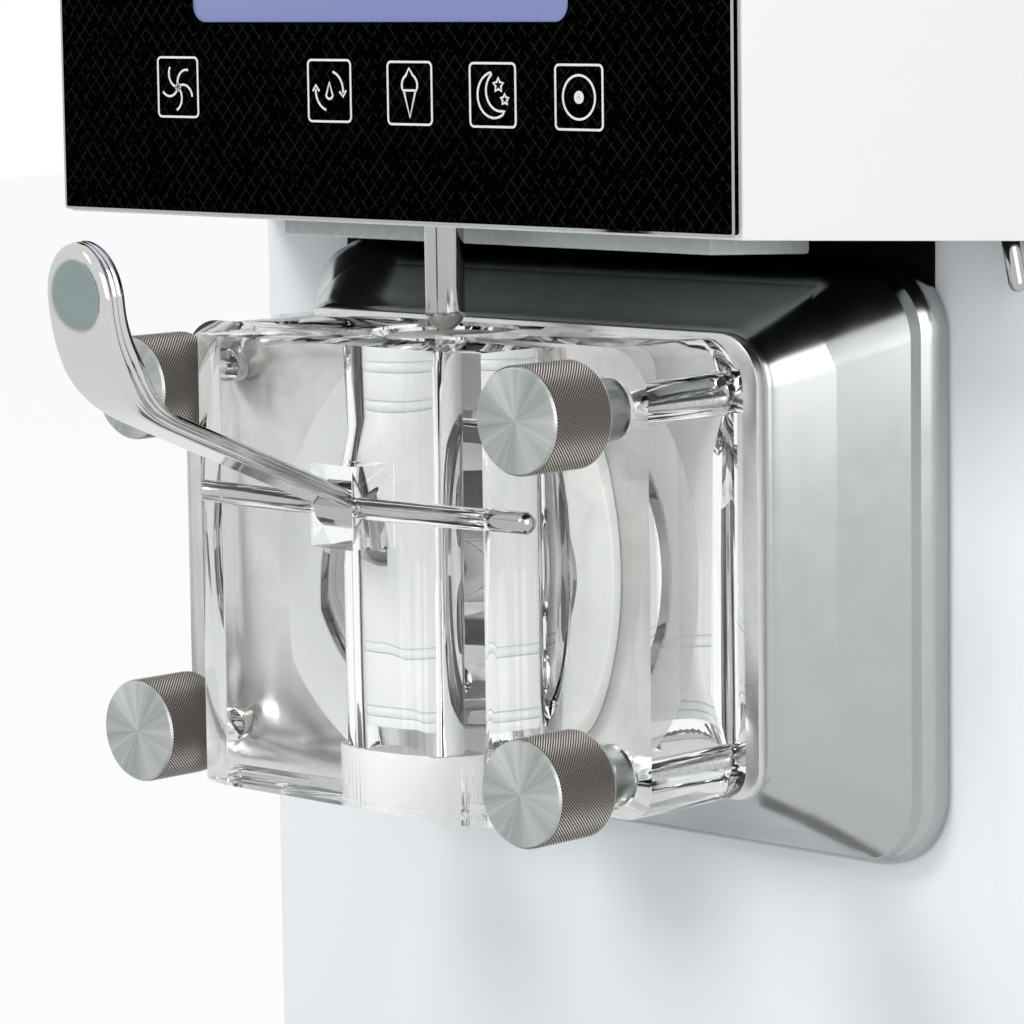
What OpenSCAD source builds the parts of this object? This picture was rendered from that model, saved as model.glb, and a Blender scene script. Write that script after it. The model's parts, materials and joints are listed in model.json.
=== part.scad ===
// Counter-top soft-serve ice cream machine: a sheet-metal cabinet with a hopper on top, a control
// hood, a clear dispensing door on a horizontal freezing cylinder, and the drive and cooling inside.
// +X is the user's right, +Y runs from the user into the machine and +Z is up. The origin lies on
// the counter at the middle of the machine's outline. Depths in the parameters are counted from the
// front plane of the door plate, and heights marked "from the door centre" from the knob pattern's middle.

/* [Cabinet] */
// Width of the cabinet
cab_w = 370; // [340:1:460]
// Depth of the cabinet, front panel to rear panel
cab_depth = 430; // [420:1:560]
// Height of the cabinet above its feet
cab_h = 627; // [610:1:720]
// Thickness of the cabinet's sheet metal
sheet_t = 1.5; // [1:0.1:2.5]
// Width of the square tubes of the frame
tube_w = 20; // [15:1:25]
// Height of the pan's upturned edge
pan_edge_h = 22; // [12:1:30]
// Diameter of a panel screw's head
screw_d = 9; // [6:0.5:12]
// Height of a panel screw's head
screw_h = 2; // [1:0.5:3]

/* [Feet] */
// Height of the levelling feet
foot_h = 40; // [30:1:60]
// Diameter of a foot's rubber pad
foot_d = 42; // [30:1:50]
// Height of the rubber pad
foot_pad_h = 14; // [8:1:20]
// Diameter of a foot's threaded stem
foot_stem_d = 12; // [8:1:16]

/* [Dispensing head] */
// Height of the door centre above the counter
head_z = 345; // [335:1:380]
// Distance from the door plate's front to the cabinet's front
door_reach = 110; // [104:1:130]

/* [Door] */
// From a side knob's axis to the door plate's edge
knob_margin_x = 18.4; // [14:0.2:26]
// From a lower knob's axis to the door plate's lower edge
knob_margin_low = 13.6; // [12:0.1:20]
// From an upper knob's axis to the door plate's upper edge
knob_margin_top = 20.5; // [18:0.1:26]
// Thickness of the door plate
door_t = 46.3; // [44:0.1:52]
// Corner radius at the top of the door plate
door_r_top = 17; // [8:0.5:22]
// Corner radius at the bottom of the door plate
door_r_low = 11; // [6:0.5:16]
// Width of the valve block
block_w = 135.4; // [120:0.2:140]
// How far the valve block stands out of the door plate
block_reach = 35.2; // [33:0.1:42]
// Depth of the valve block below the door centre
block_low = 75.5; // [74:0.1:82]
// Height of the valve block above the door centre
block_top = 79.3; // [77:0.1:84]
// Width of the valve block's side bevels
block_bevel_w = 13; // [4:0.5:18]
// Depth of the valve block's side bevels
block_bevel_d = 3; // [1:0.5:6]
// Radius of the hollow fillet between block and plate
block_fillet = 8; // [4:0.5:10]
// Diameter of the ring that seats in the freezing cylinder
spigot_d = 103; // [96:0.5:103]
// Wall of that ring
spigot_wall = 5; // [3:0.5:7]
// How far the ring reaches into the cylinder
spigot_len = 13; // [9:0.5:16]

/* [Valve] */
// Diameter of the plunger's bore
bore_d = 42; // [38:0.5:42]
// Distance of the bore's axis behind the door plate's front
bore_y = 20; // [18.5:0.5:21]
// Chamfer at the bore's upper mouth
bore_chamfer = 4; // [1:0.5:6]
// Radial gap between plunger and bore
plunger_gap = 0.08; // [0.04:0.01:0.1]
// Depth of the plunger's lower end below the door centre
plunger_low = 50; // [48:0.5:54]
// Height of the plunger's upper end above the door centre
plunger_top = 78.5; // [76:0.5:79]
// Thickness of a plunger seal ring
ring_t = 3.6; // [2.4:0.2:4]
// Diameter of the port from cylinder to bore
port_d = 18; // [14:0.5:20]
// Depth of that port below the door centre
port_low = 36; // [34:0.5:37]
// Diameter of the outlet seat
seat_d = 48; // [46:0.5:50]
// Height of the outlet seat
seat_h = 17.5; // [14:0.5:20]
// Thickness of the outlet seat's floor
seat_floor = 4; // [3:0.5:6]
// Points of the star-shaped outlet
star_points = 6; // [4:1:8]
// Outer diameter of the star
star_d = 32; // [24:1:36]
// Inner diameter of the star
star_root_d = 20; // [16:1:22]

/* [Lever] */
// Diameter of the pivot pin
pin_d = 7.4; // [6:0.1:8]
// Distance of the pivot pin ahead of the door plate's front
pin_reach = 27; // [26:0.5:28]
// Height of the pivot pin above the door centre
pin_z = 25; // [20:0.5:30]
// How far the pin stands out at its handle side
pin_out = 17; // [8:0.5:25]
// Radial gap of the lever and the door on the pin
pin_gap = 0.06; // [0.03:0.01:0.1]
// Width of the lever's slot in the block
slot_w = 20; // [16:0.5:24]
// Height of the lever's slot in the block
slot_h = 28; // [27:0.5:34]
// Gap on each side of the lever in its slot
slot_gap = 0.6; // [0.4:0.1:1]
// Thickness of the lever bar
lever_t = 6; // [5:0.5:9]
// Length of the lever from pivot to elbow
lever_len = 118; // [90:1:124]
// Rise of the lever bar above the level at rest
lever_rise = 22.5; // [18:0.5:28]
// Length of the upright paddle above the elbow
paddle_len = 49; // [46:1:64]
// Width of the paddle
paddle_w = 29; // [24:0.5:34]
// Thickness of the paddle
paddle_t = 10; // [7:0.5:11]
// Slope of the paddle above the level
paddle_slope = 84; // [70:0.5:86]
// Radius of the elbow between bar and paddle
elbow_r = 48; // [30:1:50]
// Thickness at the middle of the elbow
elbow_t = 12; // [8:0.5:13]
// Length of the inner arm that lifts the plunger
arm_len = 37; // [35.5:0.5:38]
// Half of the lever's swing
arm_half_swing = 20; // [14:0.5:20]
// Thickness of the inner arm
arm_t = 5; // [3:0.5:6]
// Width of the inner arm
arm_w = 12; // [8:0.5:13]
// Diameter of the rounded end of the inner arm
arm_tip_d = 13.8; // [12:0.2:14]
// Gap around that end in the plunger's pocket
tip_gap = 0.5; // [0.4:0.1:0.8]

/* [Knobs and studs] */
// Sideways distance between the knobs
knob_span_x = 184.4; // [178:0.2:190]
// Upright distance between the knobs
knob_span_z = 119.8; // [110:0.2:126]
// Diameter of a knob
knob_d = 36; // [30:0.5:38]
// Length of a knob's knurled barrel
knob_len = 27; // [20:0.5:34]
// Diameter of a knob's collar
collar_d = 20.6; // [16:0.2:22]
// Length of the collar in front of the door plate
collar_len = 15.2; // [10:0.2:20]
// Depth of the collar's seat in the door plate
collar_seat = 3.2; // [2:0.1:5]
// Gap around the collar in its seat
collar_gap = 0.7; // [0.4:0.1:1]
// Diameter of the studs
stud_d = 8; // [6:0.5:9]
// Diameter of the stud holes in the door
stud_hole_d = 11; // [10:0.5:12]
// Diameter of the studs' shoulders
stud_shoulder_d = 11.4; // [10.4:0.2:12]
// Radial gap of a knob's thread on its stud
thread_gap = 0.05; // [0.02:0.01:0.1]

/* [Gasket, flange and shroud] */
// Thickness of the door gasket
gasket_t = 5.7; // [3:0.1:7]
// Radial width of the gasket ring round the freezing cylinder's mouth
gasket_w = 20; // [10:0.5:21]
// Thickness of the cylinder's front flange
flange_t = 4; // [3:0.5:6]
// How far the flange stands past the door's edge
flange_lip = 2.5; // [1:0.5:4]
// Flare of the shroud on each side, from door to cabinet
shroud_flare = 33; // [10:0.5:36]
// Flare below the door, as a share of the side flare
flare_low_share = 0.79; // [0.5:0.01:1]
// Flare above the door, as a share of the side flare
flare_top_share = 0.64; // [0.4:0.01:0.8]
// Corner radius of the shroud at the cabinet
shroud_r_rear = 26; // [20:1:40]
// Depth of the straight rim of the shroud on the cabinet
shroud_rim = 6.5; // [2:0.5:10]
// Wall of the shroud
shroud_wall = 1.5; // [1:0.1:2.5]
// Depth of the rolled edges around the shroud
bead_d = 7; // [4:0.5:9]
// Thickness of the dark backing behind the shroud
backing_t = 1; // [0.5:0.1:2]
// Half width of the dark backing
backing_half_w = 140; // [120:1:150]

/* [Freezing cylinder] */
// Inner diameter of the freezing cylinder
cyl_bore_d = 104; // [104:0.5:106]
// Wall of the freezing cylinder
cyl_wall = 8; // [5:0.5:9]
// Length of the freezing cylinder
cyl_len = 250; // [240:1:256]
// Thickness of its rear wall
cyl_rear_t = 8; // [5:0.5:12]
// Diameter of the evaporator tube
coil_d = 10; // [8:0.5:12]
// Pitch of the evaporator tube
coil_pitch = 14; // [13:0.5:20]
// Width and height of the insulation block
foam_w = 176; // [160:1:190]

/* [Beater and drive] */
// Gap between the scraper blades and the cylinder
blade_gap = 0.6; // [0.4:0.1:1.5]
// Width of a scraper blade
blade_w = 12; // [8:0.5:14]
// Diameter of the beater's rods
rod_d = 9; // [7:0.5:10]
// Diameter of the beater's front journal
journal_d = 16; // [12:0.5:18]
// Radial gap of the journals in their bearings
journal_gap = 0.05; // [0.02:0.01:0.1]
// Outer diameter of the front bearing
bearing_d = 24; // [22:0.5:26]
// Diameter of the drive shaft
shaft_d = 22; // [18:0.5:24]
// Outer diameter of the shaft seal
seal_d = 40; // [34:0.5:44]
// Length of the gearbox
gearbox_len = 52; // [44:1:60]
// Width of the gearbox
gearbox_w = 130; // [110:1:140]
// Drop of the gearbox input below its output
input_drop = 55; // [40:1:60]
// Diameter of the gearbox pulley
big_pulley_d = 120; // [90:1:126]
// Diameter of the motor pulley
small_pulley_d = 60; // [50:1:70]
// Width of the pulleys
pulley_w = 18; // [14:1:22]
// Depth of the pulleys' groove
groove_d = 6; // [4:0.5:8]
// Diameter of the drive motor
motor_d = 118; // [100:1:130]
// Length of the drive motor
motor_len = 190; // [150:1:205]
// Sideways place of the drive motor, left of the middle
motor_x = 85; // [75:1:100]
// Height of the motor's axis above the pan
motor_up = 84; // [72:1:96]

/* [Hopper] */
// Width of the hopper
hopper_w = 250; // [200:1:280]
// Depth of the hopper, front to rear
hopper_len = 230; // [180:1:260]
// Inner height of the hopper
hopper_h = 148; // [120:1:160]
// Width of the hopper's rim
hopper_rim = 14; // [8:0.5:20]
// Corner radius of the hopper
hopper_r = 22; // [12:1:30]
// Distance of the hopper's front wall behind the cabinet's front
hopper_setback = 95; // [60:1:120]
// Diameter of the feed tube
feed_d = 20; // [14:0.5:24]
// Distance of the feed tube behind the hopper's front wall
feed_setback = 34; // [26:1:50]
// Height of the lid over the rim
lid_h = 18; // [12:1:30]
// Diameter of the lid's grip
lid_grip_d = 40; // [30:1:50]

/* [Control hood] */
// Width of the control hood at its front; it widens to the cabinet's width
hood_w = 318; // [300:1:330]
// How far the hood stands out past the door plate's front
hood_reach = 12.4; // [6:0.2:20]
// Height of the hood's front lower edge above the door centre
hood_z = 117.5; // [116.5:0.5:126]
// Height of the control panel's lower edge above the hood's
panel_up = 1.5; // [0.5:0.5:4]
// Drop of the hood's underside from front to rear
hood_drop = 6; // [0:0.5:7]
// Thickness of the control panel
panel_t = 3; // [2:0.5:5]
// Width of the display
lcd_w = 178; // [140:1:220]
// Height of the display
lcd_h = 100; // [80:1:110]
// Height of the display's lower edge above the hood's lower edge
lcd_up = 67; // [60:1:80]
// Diameter of the switch rod over the plunger
switch_rod_d = 13.5; // [10:0.5:15]
// Gap between the plunger and the switch rod
switch_rod_gap = 1.5; // [0.5:0.1:2.5]
// Length of the switch rod
switch_rod_len = 96; // [80:1:110]
// Width of the cover under the hood
cover_w = 204; // [160:1:240]
// Depth of that cover, front to rear
cover_len = 50; // [40:1:56]
// Distance of the cover behind the door plate's front
cover_y = 41; // [36:1:50]
// Height of the cover
cover_h = 7; // [4:0.5:9]

/* [Drip tray] */
// Width of the drip tray
tray_w = 200; // [160:1:240]
// Length of the drip tray
tray_len = 190; // [150:1:196]
// Height of the drip tray
tray_h = 38; // [28:1:46]
// Wall of the drip tray
tray_wall = 2; // [1.5:0.1:3]
// Height of the tray's underside above the counter
tray_z = 62; // [56:1:72]
// Width of a slot in the drip grille
grille_slot_w = 8; // [6:0.5:10]
// Pitch of the slots in the drip grille
grille_pitch = 15; // [13:0.5:18]
// Thickness of the drip grille
grille_t = 3; // [2:0.5:4]

/* [Cooling] */
// Diameter of the compressor
comp_d = 150; // [130:1:160]
// Height of the compressor with its feet
comp_h = 185; // [160:1:190]
// Sideways place of the compressor, right of the middle
comp_x = 84; // [76:1:90]
// Width of the condenser
cond_w = 250; // [230:1:300]
// Height of the condenser
cond_h = 220; // [200:1:230]
// Thickness of the condenser
cond_t = 32; // [24:1:40]
// Diameter of the fan
fan_d = 180; // [160:1:196]
// Number of fan blades
fan_blade_count = 5; // [3:1:7]
// Depth of the fan's frame
fan_frame_t = 26; // [22:1:30]
// Thickness of the rear grille
vent_t = 3; // [2:0.5:5]

/* [Electrics and fittings] */
// Bore of the mains cord's gland
gland_bore_d = 9; // [6:0.5:11]
// Length of the gland
gland_len = 24; // [20:1:30]
// From the power switch and the cord gland to the cabinet's side
rear_inset = 45; // [40:1:70]
// Height of the power switch above the fan's opening
rocker_up = 60; // [40:1:90]
// Height of the cord gland above the pan
gland_up = 60; // [30:1:90]
// Width of the power switch's rocker
rocker_w = 20; // [14:1:24]
// Height of the power switch's rocker
rocker_h = 28; // [22:1:32]
// Tilt of the rocker from its middle
rocker_tilt = 10; // [6:1:12]
// Diameter of the utensil peg
peg_d = 6; // [4:0.5:7]
// From the utensil peg's root to the cabinet's side
peg_inset = 8.5; // [8:0.5:14]
// From the utensil peg's root to the cabinet's front
peg_setback = 7; // [5:0.5:14]
// Length of the utensil peg
peg_len = 17; // [12:1:30]
// Outward lean of the utensil peg
peg_lean = 12; // [0:1:14]

/* [Hidden] */
$fn = 72;
HULL_FN = 32;
EPS = 0.05;

// ---- heights from the counter and depths from the door plate's front
cab_top = foot_h + cab_h;
cab_y0 = door_reach;
cab_y1 = door_reach + cab_depth;
half_w = cab_w / 2;
pan_top = foot_h + sheet_t;
shelf_z = head_z - foam_w / 2 - tube_w;
gland_in = 8;
gland_out = gland_len - gland_in;

// ---- door plate, from the knobs that hold it
door_w = knob_span_x + 2 * knob_margin_x;
door_low = knob_span_z / 2 + knob_margin_low;
door_top = knob_span_z / 2 + knob_margin_top;

// ---- stack of the dispensing head, from the door plate rearwards
flange_y0 = door_t + gasket_t;
flange_y1 = flange_y0 + flange_t;
cyl_y0 = flange_y0;
cyl_y1 = cyl_y0 + cyl_len;
cyl_r = cyl_bore_d / 2;
cyl_outer_r = cyl_r + cyl_wall;
door_x = [-door_w / 2, door_w / 2];
door_z = [-door_low, door_top];
knob_x = knob_span_x / 2;
knob_z = knob_span_z / 2;

// ---- lever, drawn in the upright plane through its bar
lever_w = slot_w - 2 * slot_gap;
boss_wall = 4.3;
boss_r = pin_d / 2 + boss_wall;
bend = paddle_slope - lever_rise;
bend_tangent = elbow_r * tan(bend / 2);
pivot = [-pin_reach, pin_z];
elbow = pivot + lever_len * ahead(lever_rise);
paddle_end = elbow + paddle_len * ahead(paddle_slope);
bend_start = elbow - bend_tangent * ahead(lever_rise);
bend_centre = bend_start - elbow_r * under(lever_rise);
bend_steps = 10;
paddle_tip_t = 5;
tip_steps = 6;
tip_round = 9;

// Direction of the lever at a slope above the level, and the direction square to it on its underside
function ahead(slope) = [-cos(slope), sin(slope)];
function under(slope) = [-sin(slope), -cos(slope)];

// Thickness along the elbow: it swells to the middle and thins again to the paddle
function bend_thickness(t) =
    t < 0.5 ? lever_t + (elbow_t - lever_t) * 2 * t : elbow_t + (paddle_t - elbow_t) * (2 * t - 1);

// Stations along the lever: point, slope and half thickness
bar_stations = [[pivot, lever_rise, lever_t / 2], [bend_start, lever_rise, lever_t / 2]];
bend_stations = [
    for (i = [1:bend_steps])
        let (t = i / bend_steps, a = lever_rise + bend * t)
            [bend_centre + elbow_r * under(a), a, bend_thickness(t) / 2]
];
tip_stations = [
    for (i = [0:tip_steps])
        let (a = 90 * i / tip_steps)
            [
                paddle_end - tip_round * (1 - sin(a)) * ahead(paddle_slope),
                paddle_slope,
                (paddle_tip_t + (paddle_t - paddle_tip_t) * cos(a)) / 2
            ]
];
stations = concat(bar_stations, bend_stations, tip_stations);
lever_outline = concat(
    [for (s = stations) s[0] + s[2] * under(s[1])],
    [for (i = [len(stations) - 1:-1:0]) stations[i][0] - stations[i][2] * under(stations[i][1])]
);
lever_front = -min([for (p = lever_outline) p[0]]);

// ---- the machine's outline puts the origin in the middle of the counter
tray_clear = 2;
tray_y1 = cab_y0 - tray_clear;
tray_y0 = tray_y1 - tray_len;
front_reach = max(lever_front, -tray_y0);
rear_reach = cab_y1 + gland_out;
door_y = (front_reach - rear_reach) / 2;

module from_door() {
    translate([0, door_y, head_z]) children();
}

module from_counter() {
    translate([0, door_y, 0]) children();
}

// ---- shared shapes
module slab(x, y, z) {
    translate([x[0], y[0], z[0]]) cube([x[1] - x[0], y[1] - y[0], z[1] - z[0]]);
}

module along_x(x0, x1, r) {
    translate([x0, 0, 0]) rotate([0, 90, 0]) cylinder(h = x1 - x0, r = r);
}

module along_y(y0, y1, r) {
    translate([0, y0, 0]) rotate([-90, 0, 0]) cylinder(h = y1 - y0, r = r);
}

// Upright plate with rounded corners, square to Y
module round_plate(x, z, y, r_low, r_top) {
    for (cx = [x[0] + r_low, x[1] - r_low])
        translate([cx, 0, z[0] + r_low]) along_y(y[0], y[1], r_low);
    for (cx = [x[0] + r_top, x[1] - r_top])
        translate([cx, 0, z[1] - r_top]) along_y(y[0], y[1], r_top);
    slab([x[0] + r_low, x[1] - r_low], y, [z[0], z[0] + r_low]);
    slab(x, y, [z[0] + r_low, z[1] - r_top]);
    slab([x[0] + r_top, x[1] - r_top], y, [z[1] - r_top, z[1]]);
}

// Lying plate or box with rounded corners, square to Z
module round_box(x, y, z, r) {
    for (cx = [x[0] + r, x[1] - r], cy = [y[0] + r, y[1] - r])
        translate([cx, cy, z[0]]) cylinder(h = z[1] - z[0], r = r);
    slab([x[0] + r, x[1] - r], y, z);
    slab(x, [y[0] + r, y[1] - r], z);
}

// Frame along the edge of a rounded plate, square to Y
module edge_frame(x, z, y, r, width) {
    difference() {
        round_plate(x, z, y, r, r);
        round_plate(
            [x[0] + width, x[1] - width],
            [z[0] + width, z[1] - width],
            [y[0] - EPS, y[1] + EPS],
            r - width,
            r - width
        );
    }
}

module at_knobs() {
    for (sx = [-1, 1], sz = [-1, 1]) translate([sx * knob_x, 0, sz * knob_z]) children();
}

// ---- cabinet
module post(x, y) {
    slab([x - tube_w / 2, x + tube_w / 2], [y - tube_w / 2, y + tube_w / 2], [pan_top, cab_top - sheet_t]);
}

module cross_rail(half, y, z) {
    slab([-half, half], [y - tube_w / 2, y + tube_w / 2], [z, z + tube_w]);
}

module base_frame() {
    inner = half_w - sheet_t;
    y0 = cab_y0 + sheet_t;
    y1 = cab_y1 - sheet_t;
    post_x = inner - tube_w / 2;
    post_y0 = y0 + tube_w / 2;
    post_y1 = y1 - tube_w / 2;
    color("gainsboro") from_counter() {
        slab([-inner, inner], [y0, y1], [foot_h, pan_top]);
        for (sx = [-1, 1])
            slab(
                [min(sx * inner, sx * (inner - sheet_t)), max(sx * inner, sx * (inner - sheet_t))],
                [y0, y1],
                [foot_h, foot_h + pan_edge_h]
            );
        for (px = [-post_x, post_x], py = [post_y0, post_y1]) post(px, py);
        for (z = [shelf_z, cab_top - sheet_t - tube_w], px = [-post_x, post_x])
            slab([px - tube_w / 2, px + tube_w / 2], [y0, y1], [z, z + tube_w]);
        for (py = [post_y0, post_y1]) cross_rail(inner, py, cab_top - sheet_t - tube_w);
        for (py = [post_y0, cyl_y1 - tube_w, gear_y0 + tube_w]) cross_rail(inner, py, shelf_z);
    }
}

module levelling_feet() {
    foot_x = half_w - foot_d / 2 - 4;
    foot_y0 = cab_y0 + foot_d / 2 + 4;
    foot_y1 = cab_y1 - foot_d / 2 - 4;
    color("dimgray") from_counter()
        for (fx = [-foot_x, foot_x], fy = [foot_y0, foot_y1])
            translate([fx, fy, 0]) {
                cylinder(h = foot_pad_h * 0.6, r = foot_d / 2);
                translate([0, 0, foot_pad_h * 0.6])
                    cylinder(h = foot_pad_h * 0.4, r1 = foot_d / 2, r2 = foot_d / 2 - 5);
                cylinder(h = foot_h, r = foot_stem_d / 2);
            }
}

front_panel_top = cab_top - sheet_t;
hood_bottom_rear = head_z + hood_z - hood_drop;

module front_panel() {
    window_x = hood_w / 2 - tube_w;
    color("ghostwhite") from_counter() difference() {
        slab([-half_w, half_w], [cab_y0, cab_y0 + sheet_t], [foot_h, front_panel_top]);
        translate([0, 0, head_z]) along_y(cab_y0 - EPS, cab_y0 + sheet_t + EPS, cyl_outer_r + 1);
        slab(
            [-window_x, window_x],
            [cab_y0 - EPS, cab_y0 + sheet_t + EPS],
            [hood_bottom_rear + tube_w, hood_bottom_rear + 3 * tube_w]
        );
    }
}

louvre_count = 7;
louvre_pitch = 18;
louvre_h = 6;
louvre_len = 150;
louvre_z = foot_h + pan_edge_h + tube_w;

module side_panel(x) {
    y_mid = (cab_y0 + cab_y1) / 2;
    difference() {
        slab([x[0], x[1]], [cab_y0 + sheet_t, cab_y1 - sheet_t], [foot_h, cab_top - sheet_t]);
        for (i = [0:louvre_count - 1])
            slab(
                [x[0] - EPS, x[1] + EPS],
                [y_mid - louvre_len / 2, y_mid + louvre_len / 2],
                [louvre_z + i * louvre_pitch, louvre_z + i * louvre_pitch + louvre_h]
            );
    }
}

module left_side_panel() {
    color("ghostwhite") from_counter() side_panel([-half_w, -half_w + sheet_t]);
}

module right_side_panel() {
    color("ghostwhite") from_counter() side_panel([half_w - sheet_t, half_w]);
}

vent_d = fan_d + 16;
vent_z = pan_top + cond_h / 2 + 12;
rocker_x = half_w - rear_inset;
rocker_z = vent_z + vent_d / 2 + rocker_up;
gland_x = rear_inset - half_w;
gland_z = pan_top + gland_up;
housing_wall = 2;

module rear_panel() {
    color("ghostwhite") from_counter() difference() {
        slab([-half_w, half_w], [cab_y1 - sheet_t, cab_y1], [foot_h, cab_top - sheet_t]);
        translate([0, 0, vent_z]) along_y(cab_y1 - sheet_t - EPS, cab_y1 + EPS, vent_d / 2);
        translate([gland_x, 0, gland_z])
            along_y(cab_y1 - sheet_t - EPS, cab_y1 + EPS, gland_bore_d / 2 + 3);
        slab(
            [rocker_x - rocker_w / 2 - housing_wall, rocker_x + rocker_w / 2 + housing_wall],
            [cab_y1 - sheet_t - EPS, cab_y1 + EPS],
            [rocker_z - rocker_h / 2 - housing_wall, rocker_z + rocker_h / 2 + housing_wall]
        );
    }
}

hopper_y0 = cab_y0 + hopper_setback;
hopper_y1 = hopper_y0 + hopper_len;
hopper_x = hopper_w / 2;

module top_panel() {
    color("ghostwhite") from_counter() difference() {
        slab([-half_w, half_w], [cab_y0, cab_y1], [cab_top - sheet_t, cab_top]);
        round_box(
            [-hopper_x, hopper_x],
            [hopper_y0, hopper_y1],
            [cab_top - sheet_t - EPS, cab_top + EPS],
            hopper_r
        );
    }
}

module panel_screws() {
    edge = tube_w * 0.6;
    color("silver") from_counter()
        for (z = [foot_h + edge, (foot_h + cab_top) / 2, cab_top - edge - sheet_t])
            for (sx = [-1, 1]) {
                translate([sx * (half_w - edge), 0, z]) along_y(cab_y1, cab_y1 + screw_h, screw_d / 2);
                translate([sx * (half_w - edge), 0, z])
                    along_y(cab_y1 - tube_w / 2, cab_y1, screw_d / 4);
            }
}

// ---- control hood, in the door's frame
hood_y0 = -hood_reach;
hood_half = hood_w / 2;
hood_top = cab_top - head_z;
hood_shell_y0 = hood_y0 + panel_t;

// Half width of the hood at a depth: it widens from the control panel to the cabinet's sides
function hood_side(y) = hood_half + (half_w - hood_half) * (y - hood_y0) / (cab_y0 - hood_y0);

// Height of the hood's sloping underside at a depth
function hood_low(y) = hood_z - hood_drop * (y - hood_y0) / (cab_y0 - hood_y0);

// The hood's outline between two depths, its sides moved in by inset and its underside raised by lift
module hood_prism(inset, y0, y1, z_top, lift) {
    intersection() {
        translate([-half_w - hood_half, 0, 0])
            rotate([90, 0, 90])
                linear_extrude(height = 2 * (half_w + hood_half))
                    polygon([[y0, hood_low(y0) + lift], [y1, hood_low(y1) + lift], [y1, z_top], [y0, z_top]]);
        linear_extrude(height = z_top)
            polygon([
                [inset - hood_side(y0), y0],
                [hood_side(y0) - inset, y0],
                [hood_side(y1) - inset, y1],
                [inset - hood_side(y1), y1]
            ]);
    }
}

module hood_shell() {
    inner = hood_half - sheet_t;
    lip = 8;
    color("ghostwhite") from_door() difference() {
        hood_prism(0, hood_shell_y0, cab_y0, hood_top, 0);
        hood_prism(sheet_t, hood_shell_y0 + sheet_t, cab_y0 + EPS, hood_top - sheet_t, -sheet_t);
        slab(
            [-inner + lip, inner - lip],
            [hood_shell_y0 - EPS, hood_shell_y0 + 2 * sheet_t],
            [hood_z + lip, hood_top - lip]
        );
    }
}

rod_hole_r = switch_rod_d / 2 + 0.5;

module hood_underside() {
    collar_h = 10;
    color("black") from_door() difference() {
        union() {
            intersection() {
                hood_prism(sheet_t, hood_shell_y0 + sheet_t, cab_y0, hood_top, 0);
                hood_under_slice();
            }
            translate([0, bore_y, hood_z - hood_drop])
                cylinder(h = hood_drop + collar_h, r = rod_hole_r + 3);
        }
        translate([0, bore_y, hood_z - 2 * hood_drop - 2])
            cylinder(h = 3 * hood_drop + 2 * collar_h, r = rod_hole_r);
        under_rod_cut();
    }
}

// Thin sloping layer just above the hood's lower edge
module hood_under_slice() {
    difference() {
        hood_prism(0, hood_shell_y0 - 1, cab_y0 + 1, hood_top, 0);
        hood_prism(-1, hood_shell_y0 - 2, cab_y0 + 2, hood_top + 1, 2 * sheet_t);
    }
}

// Everything below the hood's sloping underside, around the rod's collar
module under_rod_cut() {
    reach = rod_hole_r + 6;
    translate([-reach, 0, 0])
        rotate([90, 0, 90])
            linear_extrude(height = 2 * reach)
                polygon([
                    [bore_y - reach, hood_low(bore_y - reach)],
                    [bore_y + reach, hood_low(bore_y + reach)],
                    [bore_y + reach, hood_low(bore_y) - 2 * hood_drop - 4],
                    [bore_y - reach, hood_low(bore_y) - 2 * hood_drop - 4]
                ]);
}

panel_z0 = hood_z + panel_up;
lcd_x = lcd_w / 2;
lcd_z = [hood_z + lcd_up, hood_z + lcd_up + lcd_h];
lcd_r = 6;

module control_panel() {
    half = hood_half - 1;
    color("black") from_door() difference() {
        round_plate([-half, half], [panel_z0, hood_top - 1], [hood_y0, hood_shell_y0], 1, 1);
        round_plate([-lcd_x, lcd_x], lcd_z, [hood_y0 - EPS, hood_shell_y0 + EPS], lcd_r, lcd_r);
    }
}

module lcd_screen() {
    color("lightsteelblue") from_door()
        round_plate([-lcd_x, lcd_x], lcd_z, [hood_y0 + 0.6, hood_shell_y0], lcd_r, lcd_r);
}

module control_board() {
    board_t = 1.6;
    stand = 12;
    board_y = hood_shell_y0 + stand;
    color("darkgreen") from_door() {
        slab([-lcd_x, lcd_x], [board_y, board_y + board_t], [lcd_z[0] - 30, lcd_z[1]]);
        for (sx = [-1, 1], cz = [lcd_z[0] + 8, lcd_z[1] - 8])
            translate([sx * (lcd_x - 8), 0, cz]) along_y(hood_shell_y0, board_y, 3);
        for (i = [-2:2])
            slab([i * 32 - 9, i * 32 + 9], [board_y + board_t, board_y + board_t + 4], [lcd_z[0], lcd_z[0] + 24]);
    }
}

module underside_cover() {
    half = cover_w / 2;
    color("whitesmoke") from_door() intersection() {
        slab([-half, half], [cover_y, cover_y + cover_len], [hood_z - hood_drop - cover_h, hood_top]);
        difference() {
            hood_prism(0, hood_shell_y0, cab_y0 + 1, hood_top, -cover_h);
            hood_prism(-1, hood_shell_y0 - 1, cab_y0 + 2, hood_top + 1, 0);
        }
    }
}

rod_z0 = plunger_top + switch_rod_gap;
rod_z1 = rod_z0 + switch_rod_len;
rod_head_r = switch_rod_d / 2 + 3;
rod_head_h = 5;

module switch_rod() {
    r = switch_rod_d / 2;
    color("silver") from_door() translate([0, bore_y, 0]) {
        translate([0, 0, rod_z0 + r]) sphere(r = r);
        translate([0, 0, rod_z0 + r]) cylinder(h = rod_z1 - rod_z0 - r, r = r);
        translate([0, 0, rod_z1]) cylinder(h = rod_head_h, r = rod_head_r);
    }
}

draw_body_half = 14;
draw_body_t = 12;
draw_body_h = 20;
draw_gap = 2;
draw_arm_half = 3;
draw_arm_h = 12;
draw_plate_half = 12;
draw_plate_t = 3;
draw_plate_h = 32;

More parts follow.
